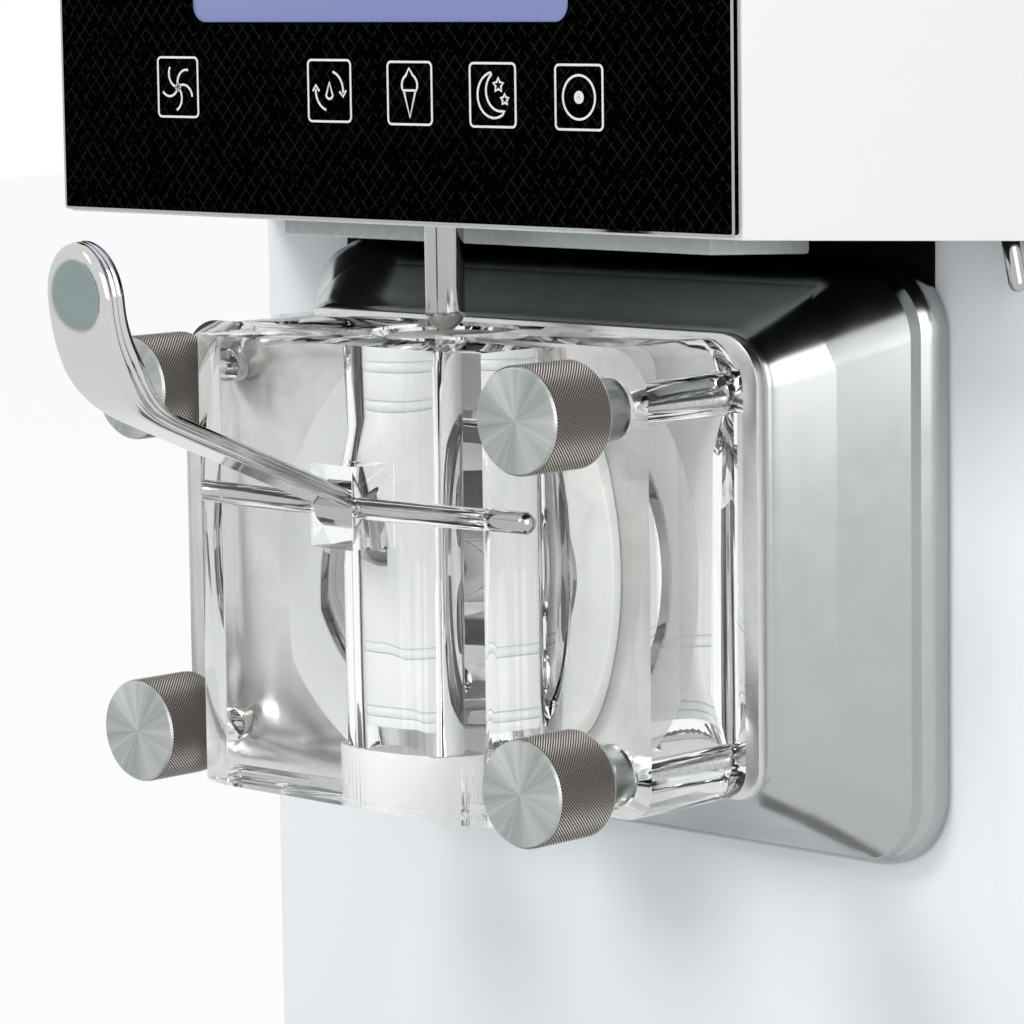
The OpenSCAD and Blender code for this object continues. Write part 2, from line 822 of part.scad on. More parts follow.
module draw_switch() {
    z0 = rod_z1 + rod_head_h + 2 * arm_len * sin(arm_half_swing) + draw_gap;
    z_mid = z0 + draw_body_h / 2;
    y1 = bore_y + draw_body_t / 2;
    color("orangered") from_door() {
        slab([-draw_body_half, draw_body_half], [y1 - draw_body_t, y1], [z0, z0 + draw_body_h]);
        slab([-draw_arm_half, draw_arm_half], [y1, cab_y0], [z_mid - draw_arm_h / 2, z_mid + draw_arm_h / 2]);
        slab(
            [-draw_plate_half, draw_plate_half],
            [cab_y0 - draw_plate_t, cab_y0],
            [z_mid - draw_plate_h / 2, z_mid + draw_plate_h / 2]
        );
    }
}

// ---- shroud between door and cabinet, in the door's frame
front_half = door_w / 2 + flange_lip;
front_z = [-door_low - flange_lip, door_top + flange_lip];
rear_half = front_half + shroud_flare;
rear_z = [front_z[0] - shroud_flare * flare_low_share, front_z[1] + shroud_flare * flare_top_share];
shroud_y0 = flange_y1 + bead_d / 2;
shroud_y1 = cab_y0 - backing_t;
bead_r = bead_d / 2;

module flare(inset, y0, y1) {
    r_front = door_r_top + flange_lip - inset;
    r_rear = shroud_r_rear - inset;
    hull() {
        round_plate(
            [-front_half + inset, front_half - inset],
            [front_z[0] + inset, front_z[1] - inset],
            [y0, y0 + EPS],
            r_front,
            r_front,
            $fn = HULL_FN
        );
        round_plate(
            [-rear_half + inset, rear_half - inset],
            [rear_z[0] + inset, rear_z[1] - inset],
            [y1 - shroud_rim, y1],
            r_rear,
            r_rear,
            $fn = HULL_FN
        );
    }
}

module shroud() {
    r_front = door_r_top + flange_lip;
    color("silver") from_door() {
        difference() {
            flare(0, shroud_y0, shroud_y1 - bead_r);
            flare(shroud_wall, shroud_y0 - EPS, shroud_y1 - bead_r + EPS);
        }
        edge_frame([-front_half, front_half], front_z, [flange_y1, shroud_y0 + 1], r_front, bead_r);
        edge_frame([-rear_half, rear_half], rear_z, [shroud_y1 - bead_d, shroud_y1], shroud_r_rear, bead_r);
    }
}

module rim_backing() {
    color("black") from_door()
        slab(
            [-backing_half_w, backing_half_w],
            [cab_y0 - backing_t, cab_y0],
            [rear_z[1] - shroud_r_rear, hood_z - hood_drop]
        );
}

module flange_plate() {
    inset = shroud_wall;
    color("silver") from_door() difference() {
        round_plate(
            [-front_half + inset, front_half - inset],
            [front_z[0] + inset, front_z[1] - inset],
            [flange_y0, flange_y1],
            door_r_low,
            door_r_top
        );
        along_y(flange_y0 - EPS, flange_y1 + EPS, cyl_outer_r);
        at_knobs() along_y(flange_y0 - EPS, flange_y1 + EPS, stud_d / 2);
    }
}

stud_share = 0.6;
stud_y0 = -collar_len - knob_len * stud_share;
nut_t = 6;
nut_r = stud_d * 0.9;

module door_studs() {
    color("silver") from_door() at_knobs() {
        along_y(stud_y0, flange_y1 + nut_t, stud_d / 2);
        along_y(door_t + 0.3, flange_y0, stud_shoulder_d / 2);
        translate([0, flange_y1, 0]) rotate([-90, 30, 0]) cylinder(h = nut_t, r = nut_r, $fn = 6);
    }
}

// ---- freezing cylinder and its jacket
shaft_hole_r = shaft_d / 2 + 1;
seal_seat = 4;
feed_y = hopper_y0 + feed_setback;

module freezing_cylinder() {
    color("lightgray") from_door() difference() {
        along_y(cyl_y0, cyl_y1, cyl_outer_r);
        along_y(cyl_y0 - EPS, cyl_y1 - cyl_rear_t, cyl_r);
        along_y(cyl_y0, cyl_y1 + EPS, shaft_hole_r);
        along_y(cyl_y1 - seal_seat, cyl_y1 + EPS, seal_d / 2);
        translate([0, feed_y, 0]) cylinder(h = cyl_outer_r + 1, r = feed_d / 2);
    }
}

coil_y0 = cab_y0 + 14;
coil_turns = floor((cyl_y1 - 10 - coil_y0) / coil_pitch);
coil_r = cyl_outer_r + coil_d / 2;
coil_spine_r = coil_d * 0.45;

module evaporator_coil() {
    color("peru") from_door() {
        for (i = [0:coil_turns - 1])
            let (y = coil_y0 + i * coil_pitch)
                if (abs(y - feed_y) > (coil_d + feed_d) / 2 + 1)
                    translate([0, y, 0])
                        rotate([90, 0, 0]) rotate_extrude() translate([coil_r, 0]) circle(r = coil_d / 2);
        translate([coil_r, 0, 0]) along_y(coil_y0, coil_y0 + (coil_turns - 1) * coil_pitch, coil_spine_r);
    }
}

foam_y0 = cab_y0 + sheet_t;
foam_y1 = cyl_y1;
foam_bore_r = coil_r + coil_d / 2 + 0.5;

module insulation() {
    h = foam_w / 2;
    color("lightyellow") from_door() difference() {
        slab([-h, h], [foam_y0, foam_y1], [-h, h]);
        along_y(foam_y0 - EPS, foam_y1 + EPS, foam_bore_r);
        translate([0, feed_y, 0]) cylinder(h = h + EPS, r = feed_d / 2 + 0.5);
    }
}

// ---- dispensing door
bore_r = bore_d / 2;
spigot_r = spigot_d / 2;
seat_z0 = -block_low;
seat_z1 = seat_z0 + seat_h;
slot_z = [pin_z - slot_h / 2, pin_z + slot_h / 2];
boss_len = spigot_len - 1;
bearing_len = 12;
pin_r = pin_d / 2;

// Plan of the valve block, with bevelled front corners and a foot that blends into the plate
module block_plan() {
    half = block_w / 2;
    foot = half + block_fillet;
    difference() {
        polygon([
            [-half + block_bevel_w, -block_reach],
            [half - block_bevel_w, -block_reach],
            [half, -block_reach + block_bevel_d],
            [half, -block_fillet],
            [foot, 0],
            [foot, door_t / 2],
            [-foot, door_t / 2],
            [-foot, 0],
            [-half, -block_fillet],
            [-half, -block_reach + block_bevel_d]
        ]);
        for (sx = [-1, 1]) translate([sx * foot, -block_fillet]) circle(r = block_fillet);
    }
}

module dispensing_door() {
    color([0.85, 0.92, 0.95, 0.45]) from_door() difference() {
        union() {
            round_plate(door_x, door_z, [0, door_t], door_r_low, door_r_top);
            translate([0, 0, -block_low]) linear_extrude(height = block_low + block_top) block_plan();
            difference() {
                along_y(door_t - EPS, door_t + spigot_len, spigot_r);
                along_y(door_t, door_t + spigot_len + EPS, spigot_r - spigot_wall);
            }
            along_y(door_t - EPS, door_t + boss_len, bearing_d / 2 + 5);
        }
        translate([0, bore_y, -block_low - 1])
            cylinder(h = block_low + door_top + 2, r = bore_r);
        translate([0, bore_y, block_top - bore_chamfer])
            cylinder(h = bore_chamfer + EPS, r1 = bore_r, r2 = bore_r + bore_chamfer);
        translate([0, bore_y, block_top])
            cylinder(h = door_top - block_top + EPS, r = bore_r + bore_chamfer);
        translate([0, bore_y, seat_z0 - EPS]) cylinder(h = seat_h + EPS, r = seat_d / 2);
        translate([0, 0, -port_low]) along_y(bore_y, door_t + EPS, port_d / 2);
        slab([-slot_w / 2, slot_w / 2], [-block_reach - EPS, bore_y - bore_r + 5], slot_z);
        translate([0, -pin_reach, pin_z])
            along_x(-block_w / 2 - EPS, block_w / 2 + EPS, pin_r + pin_gap);
        at_knobs() {
            along_y(-EPS, door_t + EPS, stud_hole_d / 2);
            along_y(-EPS, collar_seat, collar_d / 2 + collar_gap);
        }
        along_y(door_t + boss_len - bearing_len, door_t + boss_len + EPS, bearing_d / 2);
    }
}

module door_gasket() {
    color("ivory") from_door() difference() {
        along_y(door_t, flange_y0, cyl_r + gasket_w);
        along_y(door_t - EPS, flange_y0 + EPS, cyl_r);
    }
}

module star(outer_r, inner_r) {
    polygon([
        for (i = [0:2 * star_points - 1])
            let (a = 180 * i / star_points, r = i % 2 == 0 ? outer_r : inner_r)
                [r * cos(a), r * sin(a)]
    ]);
}

module outlet_seat() {
    color("white") from_door() translate([0, bore_y, seat_z0]) difference() {
        cylinder(h = seat_h, r = seat_d / 2);
        translate([0, 0, seat_floor]) cylinder(h = seat_h, r = bore_r - 2);
        translate([0, 0, -EPS]) linear_extrude(height = seat_h) star(star_d / 2, star_root_d / 2);
    }
}

bearing_y0 = door_t + boss_len - bearing_len;
bearing_y1 = door_t + boss_len;
journal_r = journal_d / 2;

module front_bearing() {
    color("white") from_door() difference() {
        along_y(bearing_y0, bearing_y1 + 1.5, bearing_d / 2);
        along_y(bearing_y0 - EPS, bearing_y1 + 2, journal_r + journal_gap);
    }
}

module lever_pin() {
    x0 = -block_w / 2 + pin_r;
    x1 = block_w / 2 + pin_out - pin_r;
    color("silver") from_door() translate([0, -pin_reach, pin_z]) {
        along_x(x0, x1, pin_r);
        for (x = [x0, x1]) translate([x, 0, 0]) sphere(r = pin_r);
    }
}

// ---- lever, plunger and rings
module lever_side() {
    translate([-paddle_w / 2, 0, 0])
        rotate([90, 0, 90]) linear_extrude(height = paddle_w) polygon(lever_outline);
}

neck_low = elbow[1] - elbow_t;
neck_high = elbow[1] + paddle_len * 0.22;
paddle_r = paddle_w / 2;
crown_h = paddle_w * 0.62;
outline_steps = 8;
outline_low = pin_z - 2 * lever_t;

// Half width of the lever seen from the front, by height
function neck_half(t) = lever_w / 2 + (paddle_r - lever_w / 2) * (3 - 2 * t) * t * t;

module lever_front_outline() {
    neck = [
        for (i = [0:outline_steps])
            let (t = i / outline_steps) [neck_half(t), neck_low + (neck_high - neck_low) * t]
    ];
    crown = [
        for (i = [0:outline_steps])
            let (a = 90 * i / outline_steps)
                [paddle_r * cos(a), paddle_end[1] - crown_h * (1 - sin(a)) + 0.2]
    ];
    right = concat([[lever_w / 2, outline_low]], neck, crown);
    polygon(concat(right, [for (i = [len(right) - 1:-1:0]) [-right[i][0], right[i][1]]]));
}

module lever() {
    color("silver") from_door() difference() {
        union() {
            intersection() {
                lever_side();
                rotate([90, 0, 0]) linear_extrude(height = lever_front + 5) lever_front_outline();
            }
            translate([0, -pin_reach, pin_z]) {
                along_x(-lever_w / 2, lever_w / 2, boss_r);
                rotate([-arm_half_swing, 0, 0]) {
                    slab([-arm_w / 2, arm_w / 2], [0, arm_len], [-arm_t / 2, arm_t / 2]);
                    translate([0, arm_len, 0]) along_x(-arm_w / 2, arm_w / 2, arm_tip_d / 2);
                }
            }
        }
        translate([0, -pin_reach, pin_z]) along_x(-paddle_w, paddle_w, pin_r + pin_gap);
    }
}

plunger_r = bore_r - plunger_gap;
tip_z = pin_z - arm_len * sin(arm_half_swing);
pocket_half_h = arm_tip_d / 2 + tip_gap;
pocket_y1 = -pin_reach + arm_len + arm_tip_d / 2 + 1;
ring_zs = [-plunger_low + 5, -plunger_low + 26, plunger_top - 22, plunger_top - 10];
ring_seat = ring_t * 0.55;

module plunger() {
    color("white") from_door() difference() {
        translate([0, bore_y, -plunger_low]) cylinder(h = plunger_low + plunger_top, r = plunger_r);
        slab(
            [-arm_w / 2 - 1, arm_w / 2 + 1],
            [bore_y - bore_r - 1, pocket_y1],
            [tip_z - pocket_half_h, tip_z + pocket_half_h]
        );
        for (z = ring_zs)
            translate([0, bore_y, z - ring_t / 2]) difference() {
                cylinder(h = ring_t, r = bore_r + 1);
                translate([0, 0, -EPS]) cylinder(h = ring_t + 2 * EPS, r = plunger_r - ring_seat * 2);
            }
    }
}

module plunger_rings() {
    color("gainsboro") from_door()
        for (z = ring_zs)
            translate([0, bore_y, z])
                rotate_extrude() translate([plunger_r - ring_t / 2 + 0.03, 0]) circle(r = ring_t / 2);
}

// ---- knobs
knob_y0 = -collar_len - knob_len;
knob_y1 = -collar_len;
knob_edge = 1.2;

module knob() {
    r = knob_d / 2;
    difference() {
        union() {
            along_y(knob_y0 + knob_edge, knob_y1 - knob_edge, r);
            translate([0, knob_y0, 0])
                rotate([-90, 0, 0]) cylinder(h = knob_edge, r1 = r - knob_edge, r2 = r);
            translate([0, knob_y1 - knob_edge, 0])
                rotate([-90, 0, 0]) cylinder(h = knob_edge, r1 = r, r2 = r - knob_edge);
            along_y(knob_y1 - knob_edge, collar_seat - 0.5, collar_d / 2);
        }
        along_y(stud_y0 - 0.5, collar_seat, stud_d / 2 + thread_gap);
    }
}

module placed_knob(sx, sz) {
    color("silver") from_door() translate([sx * knob_x, 0, sz * knob_z]) knob();
}

module knob_upper_left() {
    placed_knob(-1, 1);
}

module knob_upper_right() {
    placed_knob(1, 1);
}

module knob_lower_left() {
    placed_knob(-1, -1);
}

module knob_lower_right() {
    placed_knob(1, -1);
}

// ---- beater and drive line
beater_y0 = door_t + spigot_len + 2;
beater_y1 = cyl_y1 - cyl_rear_t - 3;
hub_t = 8;
rod_count = 4;
rod_ring_r = cyl_r - blade_gap - blade_w - rod_d / 2 + 3;
hub_r = rod_ring_r + rod_d / 4;
bar_count = 7;
bar_pitch = (beater_y1 - beater_y0) / (bar_count + 1);
bar_t = 3;
bar_w = 7;
hub_hole_r = hub_r * 0.28;
hub_hole_at = hub_r * 0.58;

module beater() {
    color("silver") from_door() {
        along_y(bearing_y0 + 1, beater_y0 + hub_t, journal_r);
        difference() {
            along_y(beater_y0, beater_y0 + hub_t, hub_r);
            for (i = [0:rod_count - 1])
                rotate([0, 45 + i * 360 / rod_count, 0])
                    translate([hub_hole_at, 0, 0]) along_y(beater_y0 - EPS, beater_y0 + hub_t + EPS, hub_hole_r);
        }
        along_y(beater_y1 - hub_t, beater_y1, hub_r);
        for (i = [0:rod_count - 1])
            rotate([0, i * 360 / rod_count, 0])
                translate([rod_ring_r, 0, 0]) along_y(beater_y0, beater_y1, rod_d / 2);
        for (i = [1:bar_count])
            rotate([0, i * 360 / rod_count, 0])
                slab(
                    [-rod_ring_r, rod_ring_r],
                    [beater_y0 + i * bar_pitch - bar_t / 2, beater_y0 + i * bar_pitch + bar_t / 2],
                    [-bar_w / 2, bar_w / 2]
                );
    }
}

module scraper_blades() {
    outer = cyl_r - blade_gap;
    color("white") from_door()
        for (i = [0:rod_count - 1])
            rotate([0, i * 360 / rod_count, 0]) difference() {
                slab([outer - blade_w, outer], [beater_y0, beater_y1], [-3, 3]);
                translate([rod_ring_r, 0, 0]) along_y(beater_y0 - EPS, beater_y1 + EPS, rod_d / 2);
                difference() {
                    along_y(beater_y0 - EPS, beater_y1 + EPS, outer + 5);
                    along_y(beater_y0 - 2 * EPS, beater_y1 + 2 * EPS, outer);
                }
            }
}

gear_y0 = cyl_y1 + tube_w + 4;
gear_y1 = gear_y0 + gearbox_len;
pulley_y0 = gear_y1 + 8;
pulley_y1 = pulley_y0 + pulley_w;
input_x = -gearbox_w / 4;
input_z = -input_drop;
input_shaft_r = 8;
shaft_seat = 12;
seat_gap = 2;

module drive_shaft() {
    color("silver") from_door() {
        along_y(beater_y1, gear_y0 + 10, shaft_d / 2);
    }
}

module shaft_seal() {
    color("black") from_door() difference() {
        along_y(cyl_y1 - seal_seat, cyl_y1 + 4, seal_d / 2);
        along_y(cyl_y1 - seal_seat - EPS, cyl_y1 + 4 + EPS, shaft_d / 2 + journal_gap);
    }
}

module gearbox() {
    h = gearbox_w / 2;
    low = shelf_z + tube_w - head_z;
    color("slategray") from_door() difference() {
        union() {
            slab([-h, h], [gear_y0, gear_y1], [low, shaft_d + 12]);
            along_y(gear_y0, gear_y1, h * 0.7);
            translate([input_x, 0, input_z]) along_y(gear_y0, gear_y1 + 4, input_shaft_r + 8);
        }
        along_y(gear_y0 - EPS, gear_y0 + 11, shaft_d / 2 + journal_gap);
        translate([input_x, 0, input_z])
            along_y(gear_y1 - shaft_seat - seat_gap, gear_y1 + 4 + EPS, input_shaft_r + journal_gap);
    }
}

module pulley(r) {
    difference() {
        along_y(pulley_y0, pulley_y1, r);
        translate([0, (pulley_y0 + pulley_y1) / 2, 0])
            rotate([90, 0, 0])
                rotate_extrude()
                    polygon([
                        [r - groove_d, -groove_d * 0.4],
                        [r + 1, -groove_d * 1.1],
                        [r + 1, groove_d * 1.1],
                        [r - groove_d, groove_d * 0.4]
                    ]);
    }
}

module gearbox_pulley() {
    color("darkgray") from_door() translate([input_x, 0, input_z]) {
        pulley(big_pulley_d / 2);
        along_y(gear_y1 - shaft_seat, pulley_y0, input_shaft_r);
    }
}

motor_z = pan_top + motor_up - head_z;
motor_y1 = gear_y1;
motor_y0 = motor_y1 - motor_len;
motor_shaft_r = 8;

module motor() {
    r = motor_d / 2;
    color("steelblue") from_door() difference() {
        union() {
            translate([-motor_x, 0, motor_z]) {
                along_y(motor_y0, motor_y1, r);
                along_y(motor_y1, motor_y1 + 4, motor_shaft_r + 8);
            }
            for (y = [motor_y0 + 20, motor_y1 - 44])
                slab(
                    [-motor_x - r * 0.7, -motor_x + r * 0.7],
                    [y, y + 24],
                    [pan_top - head_z, motor_z - r * 0.5]
                );
        }
        translate([-motor_x, 0, motor_z])
            along_y(motor_y1 - shaft_seat - seat_gap, motor_y1 + 4 + EPS, motor_shaft_r + journal_gap);
    }
}

module motor_pulley() {
    color("darkgray") from_door() translate([-motor_x, 0, motor_z]) {
        pulley(small_pulley_d / 2);
        along_y(motor_y1 - shaft_seat, pulley_y0, motor_shaft_r);
    }
}

belt_gap = 0.4;
belt_t = groove_d * 0.8;

module belt_outline(extra) {
    hull() {
        translate([input_x, input_z]) circle(r = big_pulley_d / 2 - groove_d + extra);
        translate([-motor_x, motor_z]) circle(r = small_pulley_d / 2 - groove_d + extra);
    }
}

module drive_belt() {
    y_mid = (pulley_y0 + pulley_y1) / 2;
    half = groove_d * 0.35;
    color("black") from_door()
        translate([0, y_mid + half, 0])
            rotate([90, 0, 0])
                linear_extrude(height = 2 * half)
                    difference() {
                        belt_outline(belt_gap + belt_t);
                        belt_outline(belt_gap);
                    }
}

// ---- hopper, lid, feed tube and pump
hopper_wall = 1.5;
hopper_z0 = cab_top - hopper_h - hopper_wall;
rim_t = 2;
rim_z = cab_top + rim_t;
lid_gap = 0.4;

module hopper() {
    color("silver") from_counter() difference() {
        union() {
            round_box([-hopper_x, hopper_x], [hopper_y0, hopper_y1], [hopper_z0, cab_top], hopper_r);
            round_box(
                [-hopper_x - hopper_rim, hopper_x + hopper_rim],
                [hopper_y0 - hopper_rim, hopper_y1 + hopper_rim],
                [cab_top, rim_z],
                hopper_r + hopper_rim
            );
        }
        round_box(
            [-hopper_x + hopper_wall, hopper_x - hopper_wall],
            [hopper_y0 + hopper_wall, hopper_y1 - hopper_wall],
            [hopper_z0 + hopper_wall, rim_z + 1],
            hopper_r - hopper_wall
        );
        translate([0, feed_y, hopper_z0 - 1]) cylinder(h = hopper_wall + 2, r = feed_d / 2);
    }
}

module hopper_lid() {
    skirt = hopper_rim + 3;
    plate_t = 2;
    color("gainsboro") from_counter() {
        difference() {
            round_box(
                [-hopper_x - skirt, hopper_x + skirt],
                [hopper_y0 - skirt, hopper_y1 + skirt],
                [cab_top + lid_gap, rim_z + lid_h],
                hopper_r + skirt
            );
            round_box(
                [-hopper_x - skirt + plate_t, hopper_x + skirt - plate_t],
                [hopper_y0 - skirt + plate_t, hopper_y1 + skirt - plate_t],
                [cab_top, rim_z + lid_h - plate_t],
                hopper_r + skirt - plate_t
            );
        }
        for (sx = [-1, 1])
            slab(
                [sx * (hopper_x - 20) - 1, sx * (hopper_x - 20) + 1],
                [hopper_y0 + 30, hopper_y1 - 30],
                [rim_z + lid_gap, rim_z + lid_h - plate_t]
            );
        translate([0, (hopper_y0 + hopper_y1) / 2, rim_z + lid_h]) {
            cylinder(h = 12, r = lid_grip_d / 4);
            translate([0, 0, 12]) cylinder(h = 9, r = lid_grip_d / 2);
        }
    }
}

module feed_tube() {
    z0 = head_z + cyl_r + 2;
    color("whitesmoke") from_counter() translate([0, feed_y, 0]) difference() {
        translate([0, 0, z0]) cylinder(h = hopper_z0 + hopper_wall + 6 - z0, r = feed_d / 2 - 0.2);
        translate([0, 0, z0 - 1]) cylinder(h = hopper_z0 + hopper_wall + 8 - z0, r = feed_d / 2 - 3);
    }
}

module mix_pump() {
    z0 = foam_w / 2;
    px = feed_d / 2 + 24;
    pump_len = 60;
    color("slategray") from_door() {
        slab([px, px + 46], [feed_y - 30, feed_y + 30], [z0, z0 + 40]);
        translate([px + 23, 0, z0 + 20]) along_y(feed_y + 30, feed_y + 30 + pump_len, 19);
        translate([0, feed_y, z0 + 20]) along_x(feed_d / 2 - 0.2, px, 5);
    }
}

// ---- cooling
comp_y = cab_y0 + comp_d / 2 + 50;

module compressor() {
    r = comp_d / 2;
    foot_t = 14;
    plate_t = 3;
    shoulder = r * 0.35;
    color("black") from_counter() translate([comp_x, comp_y, pan_top]) {
        rotate_extrude()
            polygon([
                [0, foot_t],
                [r, foot_t],
                [r, comp_h - shoulder],
                [r - shoulder * 0.3, comp_h - shoulder * 0.3],
                [r - shoulder, comp_h],
                [0, comp_h]
            ]);
        slab([-r * 0.8, r * 0.8], [-r * 0.8, r * 0.8], [foot_t - plate_t, foot_t]);
        for (sx = [-1, 1], sy = [-1, 1])
            translate([sx * r * 0.66, sy * r * 0.66, 0]) cylinder(h = foot_t - plate_t, r = 9);
    }
}

cond_y1 = cab_y1 - sheet_t - 8;
cond_y0 = cond_y1 - cond_t;
cond_z0 = vent_z - cond_h / 2;
fan_y1 = cond_y0 - 1;
fan_y0 = fan_y1 - fan_frame_t;
fan_r = fan_d / 2;
fin_pitch = 12;

module condenser() {
    fins = floor((cond_w - 20) / fin_pitch);
    color("darkgray") from_counter() {
        for (sx = [-1, 1])
            slab(
                [min(sx * cond_w / 2, sx * (cond_w / 2 - 2)), max(sx * cond_w / 2, sx * (cond_w / 2 - 2))],
                [cond_y0, cond_y1],
                [pan_top, cond_z0 + cond_h]
            );
        for (i = [0:fins])
            let (x = -fins * fin_pitch / 2 + i * fin_pitch)
                slab([x - 0.6, x + 0.6], [cond_y0 + 3, cond_y1 - 3], [cond_z0, cond_z0 + cond_h]);
        for (i = [0:7], y = [cond_y0 + cond_t * 0.3, cond_y0 + cond_t * 0.7])
            translate([0, y, cond_z0 + cond_h * (i + 0.5) / 8]) along_x(-cond_w / 2, cond_w / 2, 4);
    }
}

fan_shaft_r = 4;
fan_hub_r = 24;

module fan_housing() {
    half = fan_r + 14;
    strut_t = 4;
    color("dimgray") from_counter() {
        difference() {
            slab([-half, half], [fan_y0, fan_y1], [pan_top, vent_z + half]);
            translate([0, 0, vent_z]) along_y(fan_y0 - EPS, fan_y1 + EPS, fan_r);
        }
        intersection() {
            translate([0, 0, vent_z]) along_y(fan_y0, fan_y1, fan_r + 1);
            for (a = [0, 90])
                translate([0, 0, vent_z])
                    rotate([0, a + 45, 0])
                        slab([-fan_r - 1, fan_r + 1], [fan_y0, fan_y0 + strut_t], [-5, 5]);
        }
        translate([0, 0, vent_z]) {
            along_y(fan_y0 - 30, fan_y0 + strut_t, fan_hub_r + 6);
            along_y(fan_y0, fan_y1 - 5, fan_shaft_r);
        }
    }
}

module fan_blades() {
    y0 = fan_y0 + 7;
    y1 = fan_y1 - 3;
    chord = (y1 - y0) * 0.9;
    color("black") from_counter() translate([0, 0, vent_z]) difference() {
        union() {
            along_y(y0, y1, fan_hub_r);
            for (i = [0:fan_blade_count - 1])
                rotate([0, i * 360 / fan_blade_count, 0])
                    translate([fan_hub_r - 3, (y0 + y1) / 2, 0])
                        rotate([35, 0, 0])
                            slab([0, fan_r - fan_hub_r - 1], [-1, 1], [-chord * 0.6, chord * 0.6]);
        }
        along_y(y0 - EPS, fan_y1 - 4.5, fan_shaft_r + journal_gap);
    }
}

module rear_grille() {
    half = vent_d / 2 + 10;
    slots = floor(vent_d / 14);
    color("silver") from_counter() difference() {
        translate([0, 0, vent_z]) round_plate([-half, half], [-half, half], [cab_y1, cab_y1 + vent_t], 12, 12);
        for (i = [0:slots - 1])
            let (z = vent_z - (slots - 1) * 7 + i * 14)
                let (reach = sqrt(max(0, pow(vent_d / 2, 2) - pow(z - vent_z, 2))))
                    slab([-reach, reach], [cab_y1 - EPS, cab_y1 + vent_t + EPS], [z - 4, z + 4]);
    }
}

// ---- drip tray
grille_z1 = tray_z + tray_h - 2;
grille_z0 = grille_z1 - grille_t;
tray_r = 14;

module drip_tray() {
    half = tray_w / 2;
    color("gainsboro") from_counter() difference() {
        round_box([-half, half], [tray_y0, tray_y1], [tray_z, tray_z + tray_h], tray_r);
        round_box(
            [-half + 2 * tray_wall, half - 2 * tray_wall],
            [tray_y0 + 2 * tray_wall, tray_y1 - 2 * tray_wall],
            [tray_z + tray_wall, tray_z + tray_h + 1],
            tray_r - 2 * tray_wall
        );
        round_box(
            [-half + tray_wall, half - tray_wall],
            [tray_y0 + tray_wall, tray_y1 - tray_wall],
            [grille_z0, tray_z + tray_h + 1],
            tray_r - tray_wall
        );
    }
}

module drip_grille() {
    gap = 0.5;
    half = tray_w / 2 - tray_wall - gap;
    y0 = tray_y0 + tray_wall + gap;
    y1 = tray_y1 - tray_wall - gap;
    border = 12;
    slots = floor((2 * half - 2 * border) / grille_pitch);
    color("silver") from_counter() difference() {
        round_box([-half, half], [y0, y1], [grille_z0, grille_z1], tray_r - tray_wall - gap);
        for (i = [0:slots - 1])
            let (x = (i - (slots - 1) / 2) * grille_pitch)
                slab(
                    [x - grille_slot_w / 2, x + grille_slot_w / 2],
                    [y0 + border, y1 - border],
                    [grille_z0 - EPS, grille_z1 + EPS]
                );
    }
}

module tray_bracket() {
    arm_x = tray_w * 0.32;
    arm_w2 = 12;
    color("silver") from_counter() {
        for (sx = [-1, 1])
            slab(
                [sx * arm_x - arm_w2 / 2, sx * arm_x + arm_w2 / 2],
                [tray_y0 + 50, cab_y0],
                [tray_z - 8, tray_z]
            );
        slab([-arm_x - 12, arm_x + 12], [cab_y0 - tray_clear * 0.8, cab_y0], [tray_z - 14, tray_z + 16]);
    }
}

// ---- electrics and fittings
rocker_r = rocker_h / 2 - 0.6;
rocker_side_gap = 0.6;
rocker_pin_r = 2;
rocker_pin_in = 4;
rocker_out = 4;
housing_depth = 22;

module at_rocker() {
    translate([rocker_x, cab_y1, rocker_z]) children();
}

module on_rocker_pin() {
    at_rocker() translate([0, -rocker_pin_in, 0]) rotate([rocker_tilt, 0, 0]) children();
}

module power_switch() {
    w = rocker_w / 2 - rocker_side_gap;
    color("firebrick") from_counter() on_rocker_pin() difference() {
        intersection() {
            along_x(-w, w, rocker_r);
            slab([-w, w], [-rocker_r * 0.5, rocker_pin_in + rocker_out], [-rocker_h, rocker_h]);
        }
        along_x(-w - 1, w + 1, rocker_pin_r + journal_gap);
    }
}

module switch_housing() {
    hw = rocker_w / 2 + housing_wall;
    hh = rocker_h / 2 + housing_wall;
    rim = 3;
    color("black") from_counter() {
        at_rocker() difference() {
            union() {
                slab([-hw, hw], [-housing_depth, 0], [-hh, hh]);
                slab([-hw - rim, hw + rim], [0, 2], [-hh - rim, hh + rim]);
            }
            slab(
                [-rocker_w / 2, rocker_w / 2],
                [-housing_depth + 3, 3],
                [-rocker_h / 2, rocker_h / 2]
            );
        }
        on_rocker_pin() along_x(-hw + 0.5, hw - 0.5, rocker_pin_r);
    }
}

module cord_gland() {
    r = gland_bore_d / 2;
    color("black") from_counter() translate([gland_x, 0, gland_z]) difference() {
        union() {
            along_y(cab_y1 - gland_in, cab_y1 + gland_out, r + 3);
            translate([0, cab_y1, 0]) rotate([-90, 0, 0]) cylinder(h = 6, r = r + 8, $fn = 6);
            translate([0, cab_y1 - sheet_t - 4, 0]) rotate([-90, 0, 0]) cylinder(h = 4, r = r + 8, $fn = 6);
        }
        along_y(cab_y1 - gland_in - EPS, cab_y1 + gland_out + EPS, r);
    }
}

module utensil_peg() {
    r = peg_d / 2;
    root_y = cab_y0 - peg_setback;
    color("silver") from_door() difference() {
        translate([half_w - peg_inset, root_y, hood_low(root_y)])
            rotate([0, -peg_lean, 0])
                rotate_extrude() {
                    translate([0, r - peg_len]) square([r, 2 * peg_len - r]);
                    intersection() {
                        translate([0, r - peg_len]) circle(r = r);
                        translate([0, -peg_len]) square([r, 2 * r]);
                    }
                }
        hood_prism(-1, hood_shell_y0, cab_y0 + 1, hood_top, 0);
    }
}

